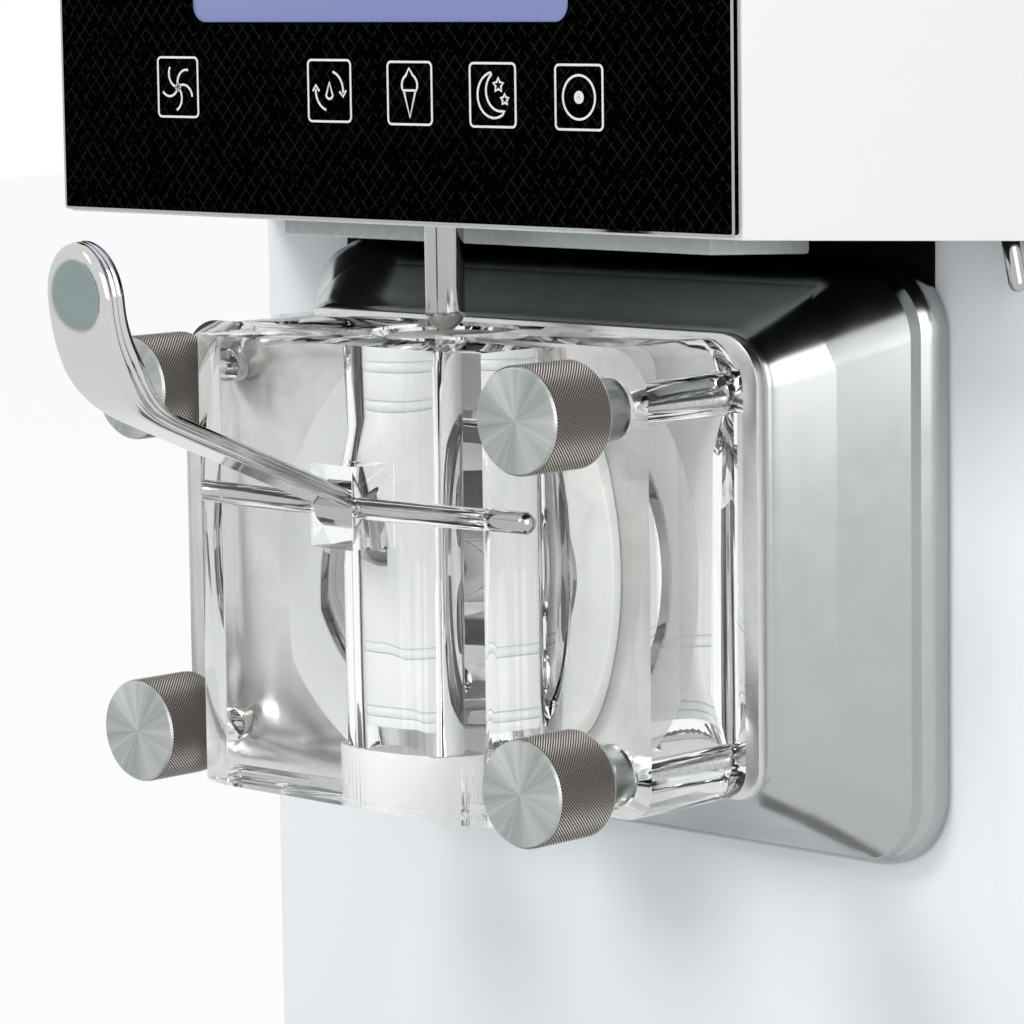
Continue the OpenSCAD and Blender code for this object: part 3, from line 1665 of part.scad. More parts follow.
// ---- drawing
base_frame();
levelling_feet();
front_panel();
left_side_panel();
right_side_panel();
rear_panel();
top_panel();
panel_screws();
hood_shell();
hood_underside();
control_panel();
lcd_screen();
control_board();
underside_cover();
switch_rod();
draw_switch();
shroud();
rim_backing();
flange_plate();
door_studs();
freezing_cylinder();
evaporator_coil();
insulation();
dispensing_door();
door_gasket();
outlet_seat();
front_bearing();
lever_pin();
lever();
plunger();
plunger_rings();
knob_upper_left();
knob_upper_right();
knob_lower_left();
knob_lower_right();
beater();
scraper_blades();
drive_shaft();
shaft_seal();
gearbox();
gearbox_pulley();
motor();
motor_pulley();
drive_belt();
hopper();
hopper_lid();
feed_tube();
mix_pump();
compressor();
condenser();
fan_housing();
fan_blades();
rear_grille();
drip_tray();
drip_grille();
tray_bracket();
power_switch();
switch_housing();
cord_gland();
utensil_peg();
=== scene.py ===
"""Looks of a counter-top soft-serve machine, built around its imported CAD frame.

Lengths are in metres. Places on the dispensing head are written in millimetres from the head's own
centre: the middle of the four knobs, on the door plate's front plane, by place(x, y, z).
"""
import json
import math

import bmesh
import bpy
from mathutils import Matrix, Vector


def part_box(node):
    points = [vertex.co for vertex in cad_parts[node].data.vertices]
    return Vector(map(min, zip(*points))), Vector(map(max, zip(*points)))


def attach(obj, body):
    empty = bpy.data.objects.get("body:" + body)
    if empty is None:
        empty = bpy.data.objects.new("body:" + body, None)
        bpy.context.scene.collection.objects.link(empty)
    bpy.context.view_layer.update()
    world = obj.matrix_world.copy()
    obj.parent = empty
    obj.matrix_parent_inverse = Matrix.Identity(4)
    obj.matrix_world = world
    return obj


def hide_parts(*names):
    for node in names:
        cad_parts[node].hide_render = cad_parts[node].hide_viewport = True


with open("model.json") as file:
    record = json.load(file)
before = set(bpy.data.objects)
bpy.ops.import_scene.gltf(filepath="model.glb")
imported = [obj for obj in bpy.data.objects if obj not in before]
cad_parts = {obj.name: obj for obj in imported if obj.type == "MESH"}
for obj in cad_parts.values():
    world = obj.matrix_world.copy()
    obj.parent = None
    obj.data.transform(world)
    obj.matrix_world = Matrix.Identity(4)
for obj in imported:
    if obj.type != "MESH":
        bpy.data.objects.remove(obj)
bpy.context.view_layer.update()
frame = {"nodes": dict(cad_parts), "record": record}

MM = 0.001
BODY = "machine"

# ---- the head's own centre, from the frame
FLANGE_BEHIND_DOOR_FRONT = 52 * MM
KNOB_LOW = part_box("knob_lower_left")
KNOB_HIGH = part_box("knob_upper_right")
HEAD = Vector((
    0.0,
    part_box("flange_plate")[0][1] - FLANGE_BEHIND_DOOR_FRONT,
    (KNOB_LOW[0][2] + KNOB_HIGH[1][2]) / 2,
))


def place(x, y, z):
    """A point given in millimetres from the head's centre."""
    return HEAD + Vector((x, y, z)) * MM


# ---- camera: solved from the head's square corners and circles
CAMERA_MM = (1052.5, -1036.8, 204.0)
CAMERA_YAW = 44.05
CAMERA_PITCH = 7.13
CAMERA_ROLL = -0.8
CAMERA_LENS = 154.83
SENSOR = 36.0


def make_camera():
    yaw, pitch, roll = (math.radians(a) for a in (CAMERA_YAW, CAMERA_PITCH, CAMERA_ROLL))
    ahead = Vector((-math.sin(yaw) * math.cos(pitch), math.cos(yaw) * math.cos(pitch), -math.sin(pitch)))
    right = Vector((math.cos(yaw), math.sin(yaw), 0))
    up = right.cross(ahead)
    tilted_right = right * math.cos(roll) + up * math.sin(roll)
    tilted_up = up * math.cos(roll) - right * math.sin(roll)
    data = bpy.data.cameras.new("camera")
    data.lens = CAMERA_LENS
    data.sensor_width = SENSOR
    data.clip_start = 0.05
    data.clip_end = 60
    camera = bpy.data.objects.new("camera", data)
    bpy.context.scene.collection.objects.link(camera)
    turn = Matrix((tilted_right, tilted_up, -ahead)).transposed().to_4x4()
    camera.matrix_world = Matrix.Translation(place(*CAMERA_MM)) @ turn
    bpy.context.scene.camera = camera


# ---- material helpers
def new_material(name):
    material = bpy.data.materials.new(name)
    material.use_nodes = True
    tree = material.node_tree
    tree.nodes.clear()
    output = tree.nodes.new("ShaderNodeOutputMaterial")
    shader = tree.nodes.new("ShaderNodeBsdfPrincipled")
    tree.links.new(shader.outputs[0], output.inputs[0])
    return material, tree, shader


def set_inputs(target, **values):
    for name, value in values.items():
        target.inputs[name.replace("_", " ")].default_value = value


def node(tree, kind, **settings):
    made = tree.nodes.new(kind)
    for name, value in settings.items():
        setattr(made, name, value)
    return made


def coordinates(tree, scale=(1, 1, 1)):
    """The object's own coordinates, scaled."""
    source = node(tree, "ShaderNodeTexCoord")
    mapping = node(tree, "ShaderNodeMapping")
    mapping.inputs["Scale"].default_value = scale
    tree.links.new(source.outputs["Object"], mapping.inputs["Vector"])
    return mapping.outputs["Vector"]


def noise(tree, vector, scale, detail=3.0, roughness=0.5):
    made = node(tree, "ShaderNodeTexNoise")
    set_inputs(made, Scale=scale, Detail=detail, Roughness=roughness)
    tree.links.new(vector, made.inputs["Vector"])
    return made.outputs["Fac"]


def ramp(tree, factor, low, high, start=0.0, end=1.0):
    """Blends two colours, or two greys given as numbers, by a factor."""
    made = node(tree, "ShaderNodeValToRGB")
    stops = made.color_ramp.elements
    stops[0].position, stops[1].position = start, end
    stops[0].color = low if hasattr(low, "__len__") else (low, low, low, 1)
    stops[1].color = high if hasattr(high, "__len__") else (high, high, high, 1)
    tree.links.new(factor, made.inputs["Fac"])
    return made.outputs["Color"]


def ray_is(tree, *kinds):
    """1 where the ray is of any of these Light Path kinds."""
    path = node(tree, "ShaderNodeLightPath")
    total = path.outputs[kinds[0]]
    for kind in kinds[1:]:
        larger = node(tree, "ShaderNodeMath", operation="MAXIMUM")
        tree.links.new(total, larger.inputs[0])
        tree.links.new(path.outputs[kind], larger.inputs[1])
        total = larger.outputs[0]
    return total


def show_mix(tree, share, first, second):
    """What the tree shows is first where share is 0 and second where it is 1."""
    mix = node(tree, "ShaderNodeMixShader")
    for value, socket in zip((share, first.outputs[0], second.outputs[0]), mix.inputs):
        tree.links.new(value, socket)
    output = next(n for n in tree.nodes if n.type.startswith("OUTPUT"))
    tree.links.new(mix.outputs[0], output.inputs[0])


def bump(tree, shader, height, strength, distance):
    made = node(tree, "ShaderNodeBump")
    set_inputs(made, Strength=strength, Distance=distance)
    tree.links.new(height, made.inputs["Height"])
    tree.links.new(made.outputs["Normal"], shader.inputs["Normal"])


def mottled(name, colour, dark, rough_low, rough_high, scale, bump_strength, bump_distance, **shader_values):
    """A surface whose colour and roughness wander a little, with a fine grain."""
    material, tree, shader = new_material(name)
    vector = coordinates(tree)
    broad = noise(tree, vector, scale)
    fine = noise(tree, vector, scale * 14, 4.0, 0.6)
    tree.links.new(ramp(tree, broad, (*dark, 1), (*colour, 1), 0.3, 0.7), shader.inputs["Base Color"])
    tree.links.new(ramp(tree, fine, rough_low, rough_high, 0.3, 0.7), shader.inputs["Roughness"])
    bump(tree, shader, fine, bump_strength, bump_distance)
    set_inputs(shader, **shader_values)
    return material


def brushed(name, colour, dark, grain, rough_low, rough_high):
    """Metal with a straight brushed grain: grain holds the noise scales along X, Y and Z."""
    material, tree, shader = new_material(name)
    vector = coordinates(tree, scale=grain)
    lines = noise(tree, vector, 1.0, 5.0, 0.6)
    patches = noise(tree, coordinates(tree), 9.0)
    tree.links.new(ramp(tree, lines, (*dark, 1), (*colour, 1), 0.3, 0.7), shader.inputs["Base Color"])
    tree.links.new(ramp(tree, patches, rough_low, rough_high, 0.3, 0.7), shader.inputs["Roughness"])
    bump(tree, shader, lines, 0.08, 0.0002)
    set_inputs(shader, Metallic=1.0)
    return material


# ---- knob sizes, in millimetres, which its material also reads; Y places are from the head's centre
KNURLS = 100
KNURL_ROWS = 42
KNURL_DEPTH = 0.6
KNOB_R = 18.0
KNOB_FACE_Y = -42.2
KNOB_BACK_Y = -15.2
KNOB_EDGE = 1.0


# ---- materials, one function each
def white_sheet():
    """The cabinet's white powder coat."""
    return mottled("white_sheet_paint", (0.875, 0.905, 0.92), (0.868, 0.898, 0.914), 0.3, 0.38, 6.0,
                   0.015, 0.0002)


def hood_paint():
    """The hood's own white, less blue than the cabinet's."""
    return mottled("hood_paint", (0.915, 0.895, 0.905), (0.907, 0.887, 0.897), 0.3, 0.38, 6.0, 0.015, 0.0002)


def cover_plastic():
    """The translucent cover under the hood."""
    return mottled("cover_plastic", (0.62, 0.67, 0.66), (0.54, 0.59, 0.58), 0.2, 0.32, 14.0, 0.05, 0.0003)


def frame_steel():
    return brushed("frame_steel", (0.5, 0.51, 0.52), (0.38, 0.39, 0.4), (300, 30, 30), 0.4, 0.55)


def foot_rubber():
    return mottled("foot_rubber", (0.03, 0.03, 0.03), (0.018, 0.018, 0.018), 0.6, 0.8, 20.0, 0.2, 0.0005)


def fastener_steel():
    return brushed("fastener_steel", (0.62, 0.61, 0.59), (0.42, 0.41, 0.39), (900, 900, 900), 0.2, 0.34)


def black_sheet():
    return mottled("black_sheet", (0.003, 0.003, 0.003), (0.0015, 0.0015, 0.0015), 0.45, 0.6, 15.0,
                   0.05, 0.0003, Specular_IOR_Level=0.04)


def display():
    return mottled("display_film", (0.195, 0.235, 0.475), (0.187, 0.226, 0.462), 0.18, 0.26, 30.0, 0.02, 0.0001,
                   Coat_Weight=0.2)


def circuit_board():
    return mottled("circuit_board", (0.02, 0.14, 0.05), (0.015, 0.1, 0.035), 0.35, 0.5, 60.0, 0.1, 0.0003)


def white_plastic():
    return mottled("white_plastic", (0.95, 0.93, 0.92), (0.92, 0.9, 0.89), 0.3, 0.42, 18.0, 0.05, 0.0003,
                   Subsurface_Weight=0.15, Subsurface_Scale=0.004)


def polished_steel():
    return mottled("polished_steel", (0.47, 0.47, 0.46), (0.43, 0.43, 0.42), 0.05, 0.11, 12.0, 0.02, 0.0002,
                   Metallic=1.0)


def lever_steel_painted_hollow_reflection():
    """The lever's mirror polish, with a painted dark reflection in the thumb hollow."""
    material, tree, shader = new_material("lever_steel_painted_hollow_reflection")
    source = node(tree, "ShaderNodeTexCoord")
    inside = node(tree, "ShaderNodeMapping", vector_type="TEXTURE")
    inside.inputs["Location"].default_value = hollow_middle()
    inside.inputs["Scale"].default_value = [v * MM for v in (HOLLOW_HALF[1], 4.5, HOLLOW_HALF[0])]
    tree.links.new(source.outputs["Object"], inside.inputs["Vector"])
    reach = node(tree, "ShaderNodeVectorMath", operation="LENGTH")
    tree.links.new(inside.outputs[0], reach.inputs[0])
    # painted reflection: inside the thumb hollow the colour falls to a dark green-grey, standing in for the
    # hollow's dark reflection
    tone = ramp(tree, reach.outputs["Value"], (0.27, 0.33, 0.33, 1), (0.62, 0.62, 0.61, 1), 0.9, 1.0)
    tree.links.new(tone, shader.inputs["Base Color"])
    tree.links.new(ramp(tree, noise(tree, coordinates(tree), 25.0), 0.05, 0.1), shader.inputs["Roughness"])
    bump(tree, shader, noise(tree, coordinates(tree), 60.0), 0.04, 0.0006)
    set_inputs(shader, Metallic=1.0)
    return material


def drawn_steel():
    """The shroud's skin: polished, but blurred by its drawing marks."""
    return mottled("drawn_steel", (0.47, 0.485, 0.485), (0.44, 0.455, 0.455), 0.16, 0.24, 5.0, 0.03, 0.0004,
                   Metallic=1.0)


def mouth_steel_painted_light():
    """The freezing cylinder's satin inside, painted lighter than its steel so that it stays light in its own
    depth: painted light.
    """
    # painted light: a near-white steel colour lifts the cylinder's inside where its depth would shade it
    return mottled("mouth_steel_painted_light", (0.93, 0.93, 0.92), (0.88, 0.88, 0.87), 0.42, 0.55, 20.0, 0.05, 0.0003,
                   Metallic=1.0)


def stainless_sheet():
    return brushed("stainless_sheet", (0.72, 0.72, 0.71), (0.6, 0.6, 0.59), (60, 900, 60), 0.22, 0.36)


def copper():
    return mottled("copper_tube", (0.75, 0.36, 0.22), (0.6, 0.26, 0.15), 0.22, 0.4, 25.0, 0.06, 0.0003,
                   Metallic=1.0)


def foam():
    return mottled("rigid_foam", (0.8, 0.7, 0.45), (0.72, 0.6, 0.36), 0.8, 0.95, 60.0, 0.5, 0.001)


def clear_acrylic():
    """Clear acrylic that lets the lamps and the room's light reach what stands inside it."""
    material, tree, shader = new_material("clear_acrylic")
    set_inputs(shader, Base_Color=(0.99, 0.997, 0.998, 1), Transmission_Weight=1.0, IOR=1.49, Roughness=0.0)
    bump(tree, shader, noise(tree, coordinates(tree), 140.0, 2.0), 0.01, 0.0001)
    clear = node(tree, "ShaderNodeBsdfTransparent")
    clear.inputs["Color"].default_value = (0.97, 0.98, 0.98, 1)
    show_mix(tree, ray_is(tree, "Is Shadow Ray", "Is Diffuse Ray"), shader, clear)
    return material


def seal_silicone():
    return mottled("seal_silicone", (0.92, 0.91, 0.89), (0.88, 0.87, 0.84), 0.25, 0.4, 14.0, 0.04, 0.0003,
                   Subsurface_Weight=0.3, Subsurface_Scale=0.005)


def black_rubber():
    return mottled("black_rubber", (0.02, 0.02, 0.02), (0.012, 0.012, 0.012), 0.5, 0.7, 30.0, 0.15, 0.0004)


def cast_housing():
    return mottled("cast_housing", (0.2, 0.21, 0.22), (0.15, 0.155, 0.16), 0.45, 0.65, 40.0, 0.35, 0.0008)


def motor_paint():
    return mottled("motor_paint", (0.12, 0.19, 0.28), (0.09, 0.15, 0.23), 0.35, 0.5, 30.0, 0.15, 0.0005)


def compressor_paint():
    return mottled("compressor_paint", (0.012, 0.012, 0.013), (0.008, 0.008, 0.009), 0.25, 0.4, 25.0,
                   0.1, 0.0004)


def aluminium_fins():
    return brushed("aluminium_fins", (0.75, 0.76, 0.77), (0.6, 0.61, 0.62), (40, 40, 700), 0.3, 0.45)


def black_plastic():
    return mottled("black_plastic", (0.02, 0.02, 0.021), (0.013, 0.013, 0.014), 0.4, 0.55, 40.0, 0.15, 0.0004)


def grey_plastic():
    return mottled("grey_plastic", (0.6, 0.62, 0.63), (0.55, 0.57, 0.58), 0.35, 0.5, 30.0, 0.12, 0.0004)


def red_plastic():
    return mottled("red_plastic", (0.45, 0.01, 0.01), (0.38, 0.008, 0.008), 0.2, 0.3, 30.0, 0.05, 0.0003)


# The rhombus lattice of the control panel: its cell's width and height, and its lines' share of a cell
LATTICE_CELL = (5.5 * MM, 6.1 * MM)
LATTICE_LINE = 0.07
PANEL_BLACK = (0.0006, 0.0006, 0.0008, 1)


def black_panel():
    """The control panel's black film with its faint broken lattice."""
    material, tree, shader = new_material("black_panel")
    source = node(tree, "ShaderNodeTexCoord")
    split = node(tree, "ShaderNodeSeparateXYZ")
    tree.links.new(source.outputs["Object"], split.inputs[0])

    def calculate(kind, first, second):
        made = node(tree, "ShaderNodeMath", operation=kind)
        for socket, value in zip(made.inputs, (first, second)):
            if hasattr(value, "links"):
                tree.links.new(value, socket)
            else:
                socket.default_value = value
        return made.outputs[0]

    across = calculate("DIVIDE", split.outputs[0], LATTICE_CELL[0])
    upward = calculate("DIVIDE", split.outputs[2], LATTICE_CELL[1])
    waves = [calculate("PINGPONG", calculate(kind, across, upward), 0.5) for kind in ("ADD", "SUBTRACT")]
    nearest = calculate("MINIMUM", *waves)
    broken = noise(tree, coordinates(tree), 420.0, 1.0)
    lines = ramp(tree, nearest, (0.009, 0.0115, 0.0115, 1), PANEL_BLACK, LATTICE_LINE * 0.5, LATTICE_LINE)
    mix = node(tree, "ShaderNodeMix", data_type="RGBA")
    tree.links.new(ramp(tree, broken, 0.0, 1.0, 0.4, 0.52), mix.inputs[0])
    mix.inputs[6].default_value = PANEL_BLACK
    tree.links.new(lines, mix.inputs[7])
    tree.links.new(mix.outputs[2], shader.inputs["Base Color"])
    tree.links.new(ramp(tree, nearest, 0.3, 0.16, 0.0, LATTICE_LINE), shader.inputs["Roughness"])
    set_inputs(shader, Specular_IOR_Level=0.0)
    return material


def turned_steel():
    """A lathe-turned end face about its piece's own Y axis: fine rings, an anisotropic sheen, and soft rays of
    painted sheen in its colour.
    """
    material, tree, shader = new_material("turned_steel")
    vector = coordinates(tree)
    rings = node(tree, "ShaderNodeTexWave", wave_type="RINGS", rings_direction="Y")
    set_inputs(rings, Scale=900.0, Distortion=0.6, Detail=2.0)
    tree.links.new(vector, rings.inputs["Vector"])
    tangent = node(tree, "ShaderNodeTangent", direction_type="RADIAL", axis="Y")
    tree.links.new(tangent.outputs[0], shader.inputs["Tangent"])
    split = node(tree, "ShaderNodeSeparateXYZ")
    tree.links.new(vector, split.inputs[0])
    angle = node(tree, "ShaderNodeMath", operation="ARCTAN2")
    tree.links.new(split.outputs[0], angle.inputs[0])
    tree.links.new(split.outputs[2], angle.inputs[1])
    circle = node(tree, "ShaderNodeCombineXYZ")
    for kind, socket in (("COSINE", 0), ("SINE", 1)):
        turn = node(tree, "ShaderNodeMath", operation=kind)
        tree.links.new(angle.outputs[0], turn.inputs[0])
        tree.links.new(turn.outputs[0], circle.inputs[socket])
    # painted sheen: the colour turns brighter and darker in soft rays round the axis, by angle alone
    rays = noise(tree, circle.outputs[0], 1.6, 4.0, 0.7)
    tone = ramp(tree, rays, (0.32, 0.345, 0.345, 1), (0.56, 0.58, 0.57, 1), 0.34, 0.68)
    tree.links.new(tone, shader.inputs["Base Color"])
    tree.links.new(ramp(tree, noise(tree, vector, 60.0), 0.26, 0.34), shader.inputs["Roughness"])
    bump(tree, shader, rings.outputs["Fac"], 0.12, 0.0001)
    set_inputs(shader, Metallic=1.0, Anisotropic=0.85)
    return material


def knurled_steel_painted_shade():
    """Knurled steel about its piece's own Y axis: painted shade darkens the valleys, and the points stay
    bright.
    """
    material, tree, shader = new_material("knurled_steel_painted_shade")
    source = node(tree, "ShaderNodeTexCoord")
    flat = node(tree, "ShaderNodeVectorMath", operation="MULTIPLY")
    flat.inputs[1].default_value = (1, 0, 1)
    tree.links.new(source.outputs["Object"], flat.inputs[0])
    radius = node(tree, "ShaderNodeVectorMath", operation="LENGTH")
    tree.links.new(flat.outputs[0], radius.inputs[0])
    height = node(tree, "ShaderNodeMapRange")
    set_inputs(height, From_Min=(KNOB_R - KNURL_DEPTH) * MM, From_Max=KNOB_R * MM)
    tree.links.new(radius.outputs["Value"], height.inputs["Value"])
    # painted shade: the colour darkens with depth down into the knurl's valleys
    painted_valley_shade = ramp(tree, height.outputs[0], (0.075, 0.068, 0.062, 1), (0.46, 0.43, 0.4, 1), 0.1, 0.85)
    tree.links.new(painted_valley_shade, shader.inputs["Base Color"])
    tree.links.new(ramp(tree, height.outputs[0], 0.5, 0.28), shader.inputs["Roughness"])
    bump(tree, shader, noise(tree, coordinates(tree), 1400.0), 0.08, 0.0001)
    set_inputs(shader, Metallic=1.0)
    return material


def pictogram_ink():
    return mottled("pictogram_ink", (0.8, 0.8, 0.8), (0.7, 0.7, 0.7), 0.4, 0.5, 200.0, 0.02, 0.0001)


# Each function has the name of its slot in the CAD's record
MAKERS = (
    white_sheet, frame_steel, foot_rubber, fastener_steel, black_sheet, black_panel, display, circuit_board,
    white_plastic, polished_steel, turned_steel, stainless_sheet, copper, foam, clear_acrylic, seal_silicone,
    black_rubber, cast_housing, motor_paint, compressor_paint, aluminium_fins, black_plastic, grey_plastic,
    red_plastic,
)
MATERIALS = {maker.__name__: maker() for maker in MAKERS}
KNURLED = knurled_steel_painted_shade()
DRAWN = drawn_steel()
HOOD_PAINT = hood_paint()
COVER = cover_plastic()
MOUTH_PAINTED_LIGHT = mouth_steel_painted_light()
INK = pictogram_ink()


def dress_nodes():
    """Every CAD node gets its slot's material."""
    for part in frame["record"]["subparts"]:
        cad = frame["nodes"][part["node"]]
        material = MATERIALS[part["material_slot"]]
        if cad.data.materials:
            for i in range(len(cad.data.materials)):
                cad.data.materials[i] = material
        else:
            cad.data.materials.append(material)


# ---- mesh helpers
SMOOTH_ANGLE = math.radians(32)


def piece(name, points, faces, material, body=BODY, replaces=(), smooth=True, origin=(0, 0, 0)):
    """A mesh object from world points, riding on a body."""
    mesh = bpy.data.meshes.new(name)
    mesh.from_pydata([tuple(Vector(p) - Vector(origin)) for p in points], [], faces)
    mesh.validate()
    tidy = bmesh.new()
    tidy.from_mesh(mesh)
    bmesh.ops.remove_doubles(tidy, verts=tidy.verts, dist=1e-6)
    bmesh.ops.recalc_face_normals(tidy, faces=tidy.faces)
    tidy.to_mesh(mesh)
    tidy.free()
    return finish_piece(name, mesh, material, body, replaces, smooth, origin)


def finish_piece(name, mesh, material, body=BODY, replaces=(), smooth=True, origin=(0, 0, 0)):
    made = bpy.data.objects.new(name, mesh)
    made.location = origin
    bpy.context.scene.collection.objects.link(made)
    mesh.materials.append(material)
    if smooth:
        mesh.polygons.foreach_set("use_smooth", [True] * len(mesh.polygons))
        mesh.set_sharp_from_angle(angle=SMOOTH_ANGLE)
    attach(made, body)
    if replaces:
        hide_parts(*replaces)
    return made


def loft(rings, cap_start=True, cap_end=True):
    """Points and faces of a skin through closed rings of equal length."""
    count = len(rings[0])
    points = [p for ring in rings for p in ring]
    faces = []
    for k in range(len(rings) - 1):
        for i in range(count):
            j = (i + 1) % count
            faces.append((k * count + i, k * count + j, (k + 1) * count + j, (k + 1) * count + i))
    if cap_start:
        faces.append(tuple(range(count - 1, -1, -1)))
    if cap_end:
        last = (len(rings) - 1) * count
        faces.append(tuple(range(last, last + count)))
    return points, faces


def rounded_outline(x0, x1, z0, z1, r_low, r_top, steps=10):
    """Points (x, z) round a rectangle with rounded corners, in millimetres."""
    corners = [(x1 - r_low, z0 + r_low, r_low, -90), (x1 - r_top, z1 - r_top, r_top, 0),
               (x0 + r_top, z1 - r_top, r_top, 90), (x0 + r_low, z0 + r_low, r_low, 180)]
    outline = []
    for cx, cz, r, start in corners:
        for i in range(steps + 1):
            a = math.radians(start + 90 * i / steps)
            outline.append((cx + r * math.cos(a), cz + r * math.sin(a)))
    return outline


SHARP_EDGE = math.radians(35)
FLAT_FACES = math.radians(0.5)
HOLED_FACE_CORNERS = 50
SLOTS = {part["node"]: part["material_slot"] for part in frame["record"]["subparts"]}
BODIES = frame["record"]["behaviour"]["bodies"]
NODE_BODY = {name: body for body, names in BODIES.items() for name in names}


def softened(node_name, width, segments=2, material=None, split_holed=False):
    """Stands for a CAD node: its own shape with every sharp edge rounded by width."""
    made = bmesh.new()
    made.from_mesh(frame["nodes"][node_name].data)
    bmesh.ops.remove_doubles(made, verts=made.verts, dist=1e-6)
    bmesh.ops.dissolve_limit(made, angle_limit=FLAT_FACES, verts=made.verts, edges=made.edges)
    if split_holed:
        # a face that winds round a hole would be filled across it
        bmesh.ops.triangulate(made, faces=[f for f in made.faces if len(f.verts) > HOLED_FACE_CORNERS])
    sharp = [e for e in made.edges if len(e.link_faces) == 2 and e.calc_face_angle(0) > SHARP_EDGE]
    bmesh.ops.bevel(made, geom=sharp, offset=width, segments=segments, affect="EDGES", profile=0.5,
                    clamp_overlap=True)
    mesh = bpy.data.meshes.new(node_name + "_piece")
    made.to_mesh(mesh)
    made.free()
    slot = SLOTS[node_name]
    return finish_piece(node_name + "_piece", mesh, material or MATERIALS[slot], NODE_BODY[node_name],
                        (node_name,))


# ---- control hood
HOOD_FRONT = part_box("control_panel")[0][1]
PANEL_LOW, PANEL_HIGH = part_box("control_panel")
INK_STAND = 0.15 * MM
LINE = 0.75 * MM
KEY_SIZE = 20.5
KEY_CORNER = 1.6
# Key centres, in millimetres from the head's centre
KEYS = {
    "fan": (-96.8, 162.2),
    "wash": (-20.8, 161.7),
    "cone": (17.4, 161.3),
    "night": (55.5, 161.1),
    "home": (93.7, 160.8),
}
SIDE_KEYS = {"thicker": (125.6, 262.0), "softer": (125.6, 214.0)}


def arc(cx, cz, r, start, end, steps=14):
    """Points (x, z) along an arc, in millimetres, angles in degrees."""
    return [
        (cx + r * math.cos(math.radians(start + (end - start) * i / steps)),
         cz + r * math.sin(math.radians(start + (end - start) * i / steps)))
        for i in range(steps + 1)
    ]


def stroke(points, closed=False, width=LINE):
    """A flat raised ribbon along (x, z) points on the panel: its faces and their points."""
    count = len(points)
    shown = []
    for i, (x, z) in enumerate(points):
        before = points[(i - 1) % count] if closed or i > 0 else points[i]
        after = points[(i + 1) % count] if closed or i < count - 1 else points[i]
        along = Vector((after[0] - before[0], after[1] - before[1]))
        along.normalize()
        side = Vector((-along.y, along.x)) * width / MM / 2
        shown.append([(x + side.x, z + side.y), (x - side.x, z - side.y)])
    front, back = HOOD_FRONT - INK_STAND, HOOD_FRONT + INK_STAND
    verts, faces = [], []
    for left, right in shown:
        for (x, z), y in ((left, front), (right, front), (right, back), (left, back)):
            at = place(x, 0, z)
            verts.append((at.x, y, at.z))
    for i in range(count if closed else count - 1):
        j = (i + 1) % count
        for k in range(4):
            a, b = 4 * i + k, 4 * i + (k + 1) % 4
            c, d = 4 * j + (k + 1) % 4, 4 * j + k
            faces.append((a, b, c, d))
    if not closed:
        faces.append((0, 1, 2, 3))
        faces.append(tuple(4 * (count - 1) + k for k in (3, 2, 1, 0)))
    return verts, faces


def gather(shapes):
    """Joins (points, faces) pairs."""
    points, faces = [], []
    for more_points, more_faces in shapes:
        start = len(points)
        points += more_points
        faces += [tuple(start + i for i in face) for face in more_faces]
    return points, faces


def key_frame(x, z):
    h = KEY_SIZE / 2
    return stroke(rounded_outline(x - h, x + h, z - h, z + h, KEY_CORNER, KEY_CORNER, 5), closed=True)


def star(cx, cz, r):
    """A five-pointed star's corners."""
    corners = []
    for i in range(10):
        a = math.radians(90 + 36 * i)
        reach = r if i % 2 == 0 else r * 0.5
        corners.append((cx + reach * math.cos(a), cz + reach * math.sin(a)))
    return corners


def fan_icon(x, z):
    blades = []
    for i in range(5):
        turn = math.radians(72 * i + 90)
        blade = arc(4.6, 0, 4.6, 180, 60, 10)
        blades.append(stroke([
            (x + bx * math.cos(turn) - bz * math.sin(turn), z + bx * math.sin(turn) + bz * math.cos(turn))
            for bx, bz in blade
        ]))
    return blades + [stroke(arc(x, z, 1.0, 0, 330, 11), closed=True)]


def wash_icon(x, z):
    drop = arc(x, z - 1.0, 1.7, 200, 340, 8) + [(x, z + 2.9)]
    return [
        stroke(arc(x, z, 6.6, 75, -5)),
        stroke(arc(x, z, 6.6, 255, 175)),
        stroke([(x + 4.9, z - 0.2), (x + 6.6, z - 1.9), (x + 8.0, z + 0.2)]),
        stroke([(x - 8.0, z - 0.2), (x - 6.6, z + 1.9), (x - 4.9, z - 0.2)]),
        stroke(drop, closed=True),
    ]


def cone_icon(x, z):
    swirl = arc(x, z + 2.6, 3.6, -28, 62, 8) + [(x - 0.2, z + 8.2)] + arc(x, z + 2.6, 3.6, 118, 208, 8)
    return [stroke(swirl, closed=True), stroke([(x - 2.6, z + 0.4), (x, z - 8.0), (x + 2.6, z + 0.4)])]


def night_icon(x, z):
    outer = arc(x + 0.6, z, 7.4, 100, 300, 20)
    inner = arc(x + 3.6, z + 1.4, 6.6, 285, 128, 16)
    return [
        stroke(outer + inner, closed=True),
        stroke(star(x + 2.6, z + 3.2, 2.4), closed=True),
        stroke(star(x + 5.4, z - 1.4, 1.9), closed=True),
    ]


def home_icon(x, z):
    return [
        stroke(arc(x, z, 7.0, 0, 350, 35), closed=True),
        stroke(arc(x, z, 1.0, 0, 330, 11), closed=True, width=2.2 * MM),
    ]


def level_icon(x, z, sign):
    bars = [stroke([(x - 5, z + s * 2.6), (x + 5, z + s * 2.6)]) for s in (-1, 0, 1)]
    return bars + [stroke([(x - 3, z + sign * 5.2), (x, z + sign * 7.6), (x + 3, z + sign * 5.2)])]


